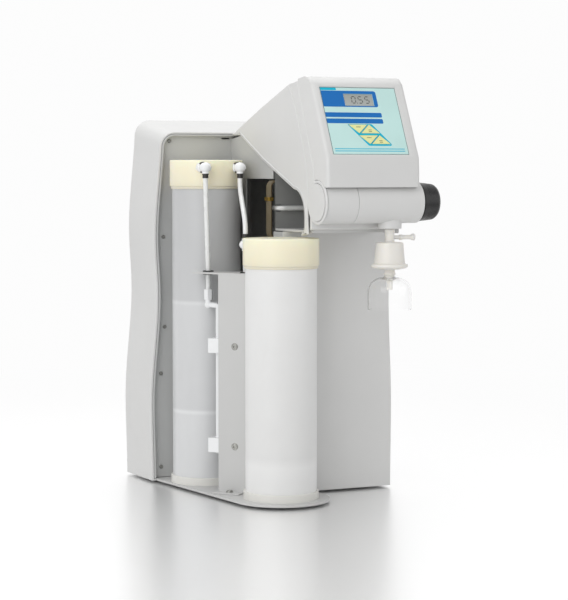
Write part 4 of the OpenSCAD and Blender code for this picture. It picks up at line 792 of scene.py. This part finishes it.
class WATER_OT_display(Operator):
    """Overlay, readout, keys and board"""

    bl_idname = "water.display"
    bl_label = "Display"

    def execute(self, context):
        values = context.scene.water_system.display
        ground = printed_film("overlay_ground", values.ground)
        dressed("display_overlay", ground, "overlay", 0.15, 1)
        self.make_print(values)
        self.make_keys(values)
        self.make_readout(values)
        painted("display_board", shared("board_green"))
        return {"FINISHED"}

    def make_print(self, values):
        """Plain bands and stripes on the overlay, round the readout and the keys, and a dark ring
        along its edges that is a painted shadow of the gap round the recess.
        """
        header = flat_form(band(*HEADER), (rectangle(*WINDOW),))
        bars = [flat_form(band(*bar)) for bar in BARS]
        holes = [key_outline(i, KEY_HOLE) for i in range(len(KEYS))]
        field = flat_form(corner_curve(KEY_FIELD), holes)
        stripes = [flat_form(rectangle(*stripe)) for stripe in STRIPES]
        # painted shadow of the gap round the recess, as a dark grey ring
        gap_shadow = flat_form(rectangle(*GAP_SHADOW_OUT), (rectangle(*GAP_SHADOW_IN),))
        for name, form, colour in (
            ("print_blue", joined(header, *bars), values.band),
            ("print_cyan", joined(field, *stripes, flat_form(band(*TAB))), values.field),
            ("print_border", gap_shadow, srgb(112, 128, 130)),
        ):
            piece(form, name, printed_film(name, colour))

    def make_keys(self, values):
        """The membrane keys with one or two plain strokes on each."""
        yellow = printed_film("key_yellow", values.key)
        dark = printed_film("print_dark", srgb(74, 84, 78))
        for i, (_, _, up) in enumerate(KEYS):
            node = f"key_{i + 1}"
            dressed(node, yellow, "key_yellow", 0.3, body=node)
            corners = key_outline(i)
            x = sum(p[0] for p in corners) / 3
            y = sum(p[1] for p in corners) / 3 + (-0.6 if up else 0.6)
            if i % 2:
                marks = [(x - 2.2, y + 0.7, x + 2.2, y + 1.4), (x - 2.2, y - 1.4, x + 2.2, y - 0.7)]
            else:
                marks = [(x - 3.2, y - 0.35, x + 3.2, y + 0.35)]
            strokes = [flat_form(rectangle(*m), (), KEY_TOP, KEY_TOP + INK) for m in marks]
            piece(joined(*strokes), f"key_mark_{i + 1}", dark, body=node)

    def make_readout(self, values):
        """The liquid crystal readout with its digits."""
        # the readout is paler at its foot and darker towards its top, as a painted shadow of the
        # bezel
        pale, bezel_shade = shade(tuple(values.glass), 1.06), shade(tuple(values.glass), 0.86)
        glass = Recipe(
            "readout_glass", tuple(values.glass), 0.16, Coat_Weight=0.6, Coat_Roughness=0.06
        )
        # painted shadow of the bezel: the glass darkens towards its top
        glass.paint(glass.blend(glass.height(508, 524), pale, bezel_shade))
        glass.bump(glass.noise(1200, 1), 0.01, 0.2)
        dressed("lcd_module", glass.material, "lcd", 0.2, 1)
        dark = textured("readout_digits", srgb(66, 68, 66), 0.3, (200, 0.05), None, None)
        strokes = [s for shape, left in DIGIT_PLACES for s in digit_strokes(shape, left)]
        strokes.append(rectangle(*POINT))
        forms = [flat_form(s, (), READOUT_TOP, READOUT_TOP + INK) for s in strokes]
        piece(joined(*forms), "readout_digits", dark)


class WATER_OT_barrel(Operator):
    """Barrel under the head with its covers, valve and collar"""

    bl_idname = "water.barrel"
    bl_label = "Barrel and valve"

    def execute(self, context):
        plastic = housing_plastic(context)
        collar = turned(COLLAR, spot(*OUTLET, 0), steps=64)
        piece(collar, "collar_disc", plastic, ("outlet_collar",))
        piece(self.sill(), "head_sill", plastic)
        for node, clamp in BARREL_COVERS:
            dressed(node, plastic, "body_plastic", BARREL_EDGE, 3, clamp=clamp)
        painted("valve_body", shared("valve_ivory"))
        return {"FINISHED"}

    def sill(self):
        """A strip that closes the head under the barrel."""
        bm = bmesh.new()
        left = (LEFT + SILL_LEFT) * MM
        face = bm.faces.new([bm.verts.new((left, y * MM, z * MM)) for y, z in SILL])
        thickened(bm, [face], ((SILL_RIGHT - SILL_LEFT) * MM, 0, 0))
        soften(bm, 0.8)
        return bm


class WATER_OT_knob(Operator):
    """Black grip knob on the valve's spindle"""

    bl_idname = "water.knob"
    bl_label = "Knob"

    def execute(self, context):
        values = context.scene.water_system.knob
        black = textured(
            "knob_black", tuple(values.colour), 0.36, (60, 0.06), (90, 0.05), (1600, 0.03, 0.35),
            Specular_IOR_Level=0.3, Coat_Weight=0.25, Coat_Roughness=0.12,
        )
        outline = [*KNOB_ROOT, *self.grip(values.rings, values.ring_depth / MM), *KNOB_TIP]
        bm = turned(outline, spot(BARREL_RIGHT + KNOB_GAP, *BARREL), RIGHT, 128)
        piece(bm, "knob_grip", black, ("knob",), "knob", sharp=50)
        painted("valve_spindle", shared("machined_steel"))
        return {"FINISHED"}

    def grip(self, rings, depth):
        """The knob's tapered side: rings with narrow grooves after each rim."""
        pitch = (GRIP_END - GRIP_START) / rings
        points = []
        for i in range(rings):
            at = GRIP_START + i * pitch
            outer = GRIP_RADIUS - GRIP_TAPER * at
            inner = outer - depth
            points += [(outer, at, 0.15), (inner, at + 0.25), (inner, at + 0.45)]
            points.append((outer, at + 0.7, 0.15))
        return points


class WATER_OT_filter(Operator):
    """Final filter with its vent"""

    bl_idname = "water.filter"
    bl_label = "Filter"

    def execute(self, context):
        ivory = textured(
            "filter_white", srgb(240, 237, 231), 0.36, (40, 0.012), (90, 0.04), (900, 0.02, 0.3),
            **milky(0.35, 0.004, (1.0, 0.9, 0.75)),
        )
        vent = spot(*OUTLET, VENT_HEIGHT)
        capsule = joined(turned(CAPSULE, spot(*OUTLET, 0)), turned(VENT_STUB, vent, RIGHT, 32))
        piece(capsule, "filter_shell", ivory, ("filter_capsule",), "filter")
        cap = turned(VENT_CAP, vent, RIGHT, 48, closed=False)
        piece(cap, "vent_shell", ivory, ("vent_cap",), "filter")
        return {"FINISHED"}


class WATER_OT_bell(Operator):
    """Clear bell round the outlet tip"""

    bl_idname = "water.bell"
    bl_label = "Bell"

    def execute(self, context):
        clear = Recipe("clear_plastic", (1, 1, 1), 0.03, Transmission_Weight=1.0, IOR=1.32)
        clear.dull(30, 0.015)
        clear.bump(clear.noise(50, 2, (1, 1, 0.3)), 0.02, 0.2)
        outer, inner = (arc(x, z, r, r, 0, 90) for x, z, r in BELL_SHOULDERS)
        outline = [BELL_RIM[0], *outer, *BELL_NECK, *inner[::-1], BELL_RIM[1]]
        bell = turned(outline, spot(*OUTLET, 0))
        piece(bell, "bell_shell", clear.material, ("outlet_bell",), "filter")
        return {"FINISHED"}


class WATER_OT_cartridges(Operator):
    """Both cartridges with their caps and locating rings"""

    bl_idname = "water.cartridges"
    bl_label = "Cartridges"

    def execute(self, context):
        values = context.scene.water_system.water
        for name, place, top, colour, bands, glow in (
            ("rear", REAR_CARTRIDGE, REAR_TOP, values.rear_body, REAR_BANDS, (0.2, 0.01)),
            ("front", FRONT_CARTRIDGE, FRONT_TOP, values.front_body, FRONT_BANDS, (0.3, 0.012)),
        ):
            body = translucent(f"{name}_cartridge_plastic", tuple(colour), bands, **milky(*glow))
            self.cartridge(name, spot(*place, 0), top, body, tuple(values.cap))
        return {"FINISHED"}

    def cartridge(self, name, place, top, body, cap):
        """One cartridge with its cap and its ring, up to a height."""
        # the cap's colour carries a painted highlight towards its top
        bands = [(top + z, factor) for z, factor in CAP_HIGHLIGHT_BANDS]
        cream_and_highlight = translucent(
            f"{name}_cap_plastic", cap, bands, 0.34, **milky(0.4, 0.008, (1.0, 0.8, 0.5))
        )
        for outline, made, material, slot, node, closed in (
            ((*FLOOR_OUT, *raised(RIM, top), *FLOOR_IN), "body", body, f"{name}_body_plastic",
             "cartridge", False),
            (raised(LID, top), "lid", cream_and_highlight, "cap_plastic", "cap", False),
            (FOOT_RING, "foot_ring", shared("ring_white"), "white_sheet", "ring", True),
        ):
            bm = turned(outline, place, steps=128, closed=closed)
            piece(bm, f"{name}_{made}", material, (f"{name}_{node}",))


class WATER_OT_fittings(Operator):
    """Elbows, collets, locking clips and grommets"""

    bl_idname = "water.fittings"
    bl_label = "Fittings"

    def execute(self, context):
        elbows, rings, clips = [], [], []
        for cap, ball, turn, reach, above in ELBOWS:
            place = spot(*ball)
            back = Matrix.Rotation(math.radians(turn), 3, "Z") @ BACKWARD
            elbows += [self.ball(place, above), self.stub(place, back, reach, spot(*cap, ball[2]))]
            rings += [turned(COLLET, place, way, 48) for way in ((-UP, UP) if above else (-UP,))]
            start = place + back * max(7.2, reach - 6.4) * MM
            clips += [self.clip(start, back, way, math.radians(half)) for way, half in CLIP_ARCS]
        for forms, name, material, slot, node in (
            (elbows, "elbow_bodies", fitting_plastic(context), "fitting_plastic", "cap_elbows"),
            (rings, "collet_rings", shared("black_plastic"), "black_plastic", "collets"),
            (clips, "clip_arcs", shared("clip_brown"), "black_plastic", "locking_clips"),
        ):
            piece(joined(*forms), name, material, (node,))
        dressed("grommets", shared("black_rubber"), "rubber", 0.4)
        return {"FINISHED"}

    def ball(self, place, above):
        """An elbow's body, wider than high, with the sockets of its tubes."""
        side = arc(0, 0, BALL_WIDE, BALL_HIGH, 58 if above else 90, -58)
        if above:
            line = [(TUBE, 8), (4.8, 8, 0.3), *side, *BALL_SOCKET]
        else:
            line = [*side, *BALL_SOCKET, (TUBE, -3), (0, -3)]
        return turned(line, place, steps=48, closed=above)

    def stub(self, place, back, reach, axis):
        """The stub from a ball to its cap, with a round collar, cut along the cap's side."""
        end = reach + 6
        line = [
            (0, 4), (4.8, 4), (4.8, reach - 4, 0.3), (6.4, reach - 3.2, 2.2), (6.4, end), (0, end)
        ]
        bm = turned(line, place, back, 48, closed=False)
        out = (place + back * reach * MM - axis).normalized()
        bmesh.ops.bisect_plane(
            bm, geom=bm.verts[:] + bm.edges[:] + bm.faces[:],
            plane_co=axis + out * (CAP_RADIUS + 0.15) * MM, plane_no=-out, clear_outer=True,
        )
        bmesh.ops.holes_fill(bm, edges=[e for e in bm.edges if e.is_boundary], sides=0)
        outward(bm)
        return bm

    def clip(self, start, back, way, half):
        """An arc of the clip round a stub, above or below it."""
        bm = bmesh.new()
        bm.faces.new([bm.verts.new((r * MM, 0, h * MM)) for r, h in CLIP_SECTION])
        bmesh.ops.rotate(bm, verts=bm.verts, matrix=Matrix.Rotation(-half, 3, "Z"))
        bmesh.ops.spin(
            bm, geom=bm.verts[:] + bm.edges[:] + bm.faces[:], cent=(0, 0, 0), axis=UP,
            angle=2 * half, steps=12,
        )
        outward(bm)
        turn = Matrix((way, back.cross(way), back)).transposed().to_4x4()
        bmesh.ops.transform(bm, matrix=Matrix.Translation(start) @ turn, verts=bm.verts)
        return bm


class WATER_OT_tubes(Operator):
    """Water tubes, hoses and the hose clip"""

    bl_idname = "water.tubes"
    bl_label = "Tubes"

    def execute(self, context):
        colour = tuple(context.scene.water_system.water.tube)
        tube = textured(
            "tube_plastic", colour, 0.3, (50, 0.015), (80, 0.04), (700, 0.015, 0.3),
            **milky(0.3, 0.003),
        )
        for node in ("feed_tube", "transfer_tube", "drain_tube", "product_tubes"):
            dressed(node, tube, "tube_plastic", 0.2, 1, 50)
        dressed("hose_bundle", shared("hose_tan"), "hose_tan", 0.2, 1, 50)
        dressed("hose_clip", shared("brass"), "brass", 0.4)
        return {"FINISHED"}


class WATER_OT_module(Operator):
    """Flow module behind the bracket with its clips and fitting"""

    bl_idname = "water.module"
    bl_label = "Flow module"

    def execute(self, context):
        for node in ("flow_module", "module_clips", "module_fitting"):
            dressed(node, fitting_plastic(context), "fitting_plastic")
        return {"FINISHED"}


class WATER_OT_fasteners(Operator):
    """Screws of the tray and of the bracket"""

    bl_idname = "water.fasteners"
    bl_label = "Screws"

    def execute(self, context):
        steel = shared("screw_steel")
        dressed("tray_screws", steel, "screw_steel", 0.25)
        screws = [self.screw(Vector(seat) * MM, *rest) for seat, *rest in BRACKET_SCREWS]
        piece(joined(*screws), "bracket_bolts", steel, ("bracket_screws",))
        return {"FINISHED"}

    def screw(self, seat, out, shank, length):
        """A pan-headed screw on its washer, with a round recess."""
        line = [(0, -length), (shank, -length, 0.3), (shank, 0), *SCREW_HEAD]
        return turned(line, seat, out, 48, closed=False)


class WATER_OT_connections(Operator):
    """Recessed plate at the back with the mains inlet, the switch and the tube ports"""

    bl_idname = "water.connections"
    bl_label = "Rear connections"

    def execute(self, context):
        black = shared("black_plastic")
        dressed("connection_plate", shared("connection_grey"), "black_plastic")
        inlet = dressed("mains_inlet", black, "black_plastic", 0.4).data
        inlet.materials.append(shared("machined_steel"))
        for face in inlet.polygons:
            face.material_index = int(self.on_blade(face.center))
        dressed("power_switch", black, "black_plastic", 0.6, 3, body="rocker")
        dressed("water_ports", shared("ring_white"), "fitting_plastic", 0.5, 3)
        return {"FINISHED"}

    def on_blade(self, place):
        """Whether a place is on one of the three loose blades in the socket."""
        inside = all(min(a, b) <= v <= max(a, b) for v, a, b in zip(place, *SOCKET_BOX))
        right, up = place.x / MM - LEFT, place.z / MM
        return inside and any(
            abs(right - x) < BLADE_WIDE and abs(up - z) < BLADE_HIGH for x, z in BLADES
        )


class WATER_OT_internals(Operator):
    """Pump, valve, cell, power supply and board inside the housing"""

    bl_idname = "water.internals"
    bl_label = "Internals"

    def execute(self, context):
        for node, name in INTERNALS.items():
            painted(node, shared(name))
        return {"FINISHED"}


class WATER_OT_stage(Operator):
    """Floor, lights, world and camera"""

    bl_idname = "water.stage"
    bl_label = "Stage"

    def execute(self, context):
        values = context.scene.water_system.stage
        self.make_camera(context)
        self.make_floor()
        self.make_world(context, values.ambient)
        for name, (place, side) in LAMPS.items():
            self.make_lamp(f"{name}_light", getattr(values, name), place, side)
        return {"FINISHED"}

    def make_camera(self, context):
        """The camera of the photo, fitted to its vanishing lines."""
        data = bpy.data.cameras.new("photo_camera")
        data.lens, data.sensor_width = LENS, SENSOR
        camera = placed("photo_camera", data)
        camera.location = CAMERA_PLACE
        camera.rotation_euler = (math.radians(CAMERA_TILT), 0, math.radians(CAMERA_TURN))
        context.scene.camera = camera

    def make_floor(self):
        """A wide round floor."""
        bm = bmesh.new()
        bmesh.ops.create_circle(bm, cap_ends=True, radius=FLOOR_RADIUS, segments=128)
        outward(bm)
        mesh = bpy.data.meshes.new("floor")
        bm.to_mesh(mesh)
        bm.free()
        placed("floor", mesh)
        mesh.materials.append(self.floor_material())

    def floor_material(self):
        """Plain and pale for the light on the object; seen directly it is white with a soft
        reflection."""
        recipe = Recipe("floor_white", (0.8, 0.8, 0.8), 0.5)
        recipe.mottle(3, 0.003)
        length = recipe.add("ShaderNodeVectorMath", operation="LENGTH")
        recipe.link(recipe.stretched((1, 1, 0)), length.inputs[0])
        near = recipe.ranged(length.outputs["Value"], FADE_START, FADE_END, 1, 0)
        shown = self.lit(recipe, WHITE - MIRROR * MIRROR_LIT - CONTACT * CONTACT_LIT)
        mirror, matt = (MIRROR, MIRROR, MIRROR, 1), (CONTACT, CONTACT, CONTACT, 1)
        gloss = recipe.add("ShaderNodeBsdfGlossy", {"Color": mirror, "Roughness": FLOOR_GLOSS})
        matt = recipe.add("ShaderNodeBsdfDiffuse", {"Color": matt})
        for shader in (gloss, matt):
            both = recipe.add("ShaderNodeAddShader")
            recipe.link(shown, both.inputs[0])
            recipe.link(shader.outputs["BSDF"], both.inputs[1])
            shown = both.outputs["Shader"]
        faded = self.chosen(recipe, near, self.lit(recipe, WHITE), shown)
        plain = recipe.shader.outputs["BSDF"]
        surface = self.chosen(recipe, self.shown_directly(recipe.tree), plain, faded)
        output = next(n for n in recipe.tree.nodes if n.type == "OUTPUT_MATERIAL")
        recipe.link(surface, output.inputs["Surface"])
        return recipe.material

    def lit(self, recipe, strength):
        """A shader of plain brightness."""
        return recipe.add("ShaderNodeEmission", {"Strength": strength}).outputs["Emission"]

    def chosen(self, recipe, value, first, second):
        """The first shader where a value is 0 and the second where it is 1."""
        node = recipe.add("ShaderNodeMixShader")
        for socket, source in zip(node.inputs, (value, first, second)):
            recipe.link(source, socket)
        return node.outputs["Shader"]

    def shown_directly(self, tree):
        """1 for the rays that show the background: those of the camera, of gloss and of glass."""
        path = tree.nodes.new("ShaderNodeLightPath")
        seen = path.outputs["Is Camera Ray"]
        for kind in ("Is Glossy Ray", "Is Transmission Ray"):
            either = tree.nodes.new("ShaderNodeMath")
            either.operation = "MAXIMUM"
            tree.links.new(seen, either.inputs[0])
            tree.links.new(path.outputs[kind], either.inputs[1])
            seen = either.outputs[0]
        return seen

    def make_world(self, context, ambient):
        """Plain light all round, behind which the background shows white."""
        world = bpy.data.worlds.new("studio")
        world.use_nodes = True
        context.scene.world = world
        tree = world.node_tree
        strength = tree.nodes.new("ShaderNodeMapRange")
        strength.inputs["To Min"].default_value = ambient
        strength.inputs["To Max"].default_value = WHITE
        tree.links.new(self.shown_directly(tree), strength.inputs["Value"])
        background = tree.nodes["Background"]
        background.inputs["Color"].default_value = (1, 1, 1, 1)
        tree.links.new(strength.outputs["Result"], background.inputs["Strength"])

    def make_lamp(self, name, power, place, side):
        """A square lamp that aims at the object's middle."""
        data = bpy.data.lights.new(name, "AREA")
        data.energy = power
        data.shape = "RECTANGLE"
        data.size = data.size_y = side
        lamp = placed(name, data)
        lamp.location = place
        lamp.rotation_euler = (MIDDLE - Vector(place)).to_track_quat("-Z", "Y").to_euler()


class WATER_PT_panel(Panel):
    """Lists the steps that build the water system's looks"""

    bl_idname = "WATER_PT_panel"
    bl_label = "Water System"
    bl_space_type = "VIEW_3D"
    bl_region_type = "UI"
    bl_category = "Water System"

    def draw(self, context):
        for operator in OPERATORS:
            self.layout.operator(operator.bl_idname)


OPERATORS = (
    WATER_OT_housing, WATER_OT_sheets, WATER_OT_display, WATER_OT_barrel, WATER_OT_knob,
    WATER_OT_filter, WATER_OT_bell, WATER_OT_cartridges, WATER_OT_fittings, WATER_OT_tubes,
    WATER_OT_module, WATER_OT_fasteners, WATER_OT_connections, WATER_OT_internals, WATER_OT_stage,
)
SETTINGS = (
    HousingSettings, DisplaySettings, KnobSettings, WaterPathSettings, StageSettings,
    WaterSystemSettings,
)
CLASSES = (*SETTINGS, *OPERATORS, WATER_PT_panel)


def register():
    for kind in CLASSES:
        bpy.utils.register_class(kind)
    bpy.types.Scene.water_system = PointerProperty(type=WaterSystemSettings)


def unregister():
    del bpy.types.Scene.water_system
    for kind in reversed(CLASSES):
        bpy.utils.unregister_class(kind)


def main():
    bpy.context.scene.view_settings.view_transform = "Standard"
    register()
    for operator in OPERATORS:
        group, name = operator.bl_idname.split(".")
        getattr(getattr(bpy.ops, group), name)()


if __name__ == "__main__":
    main()
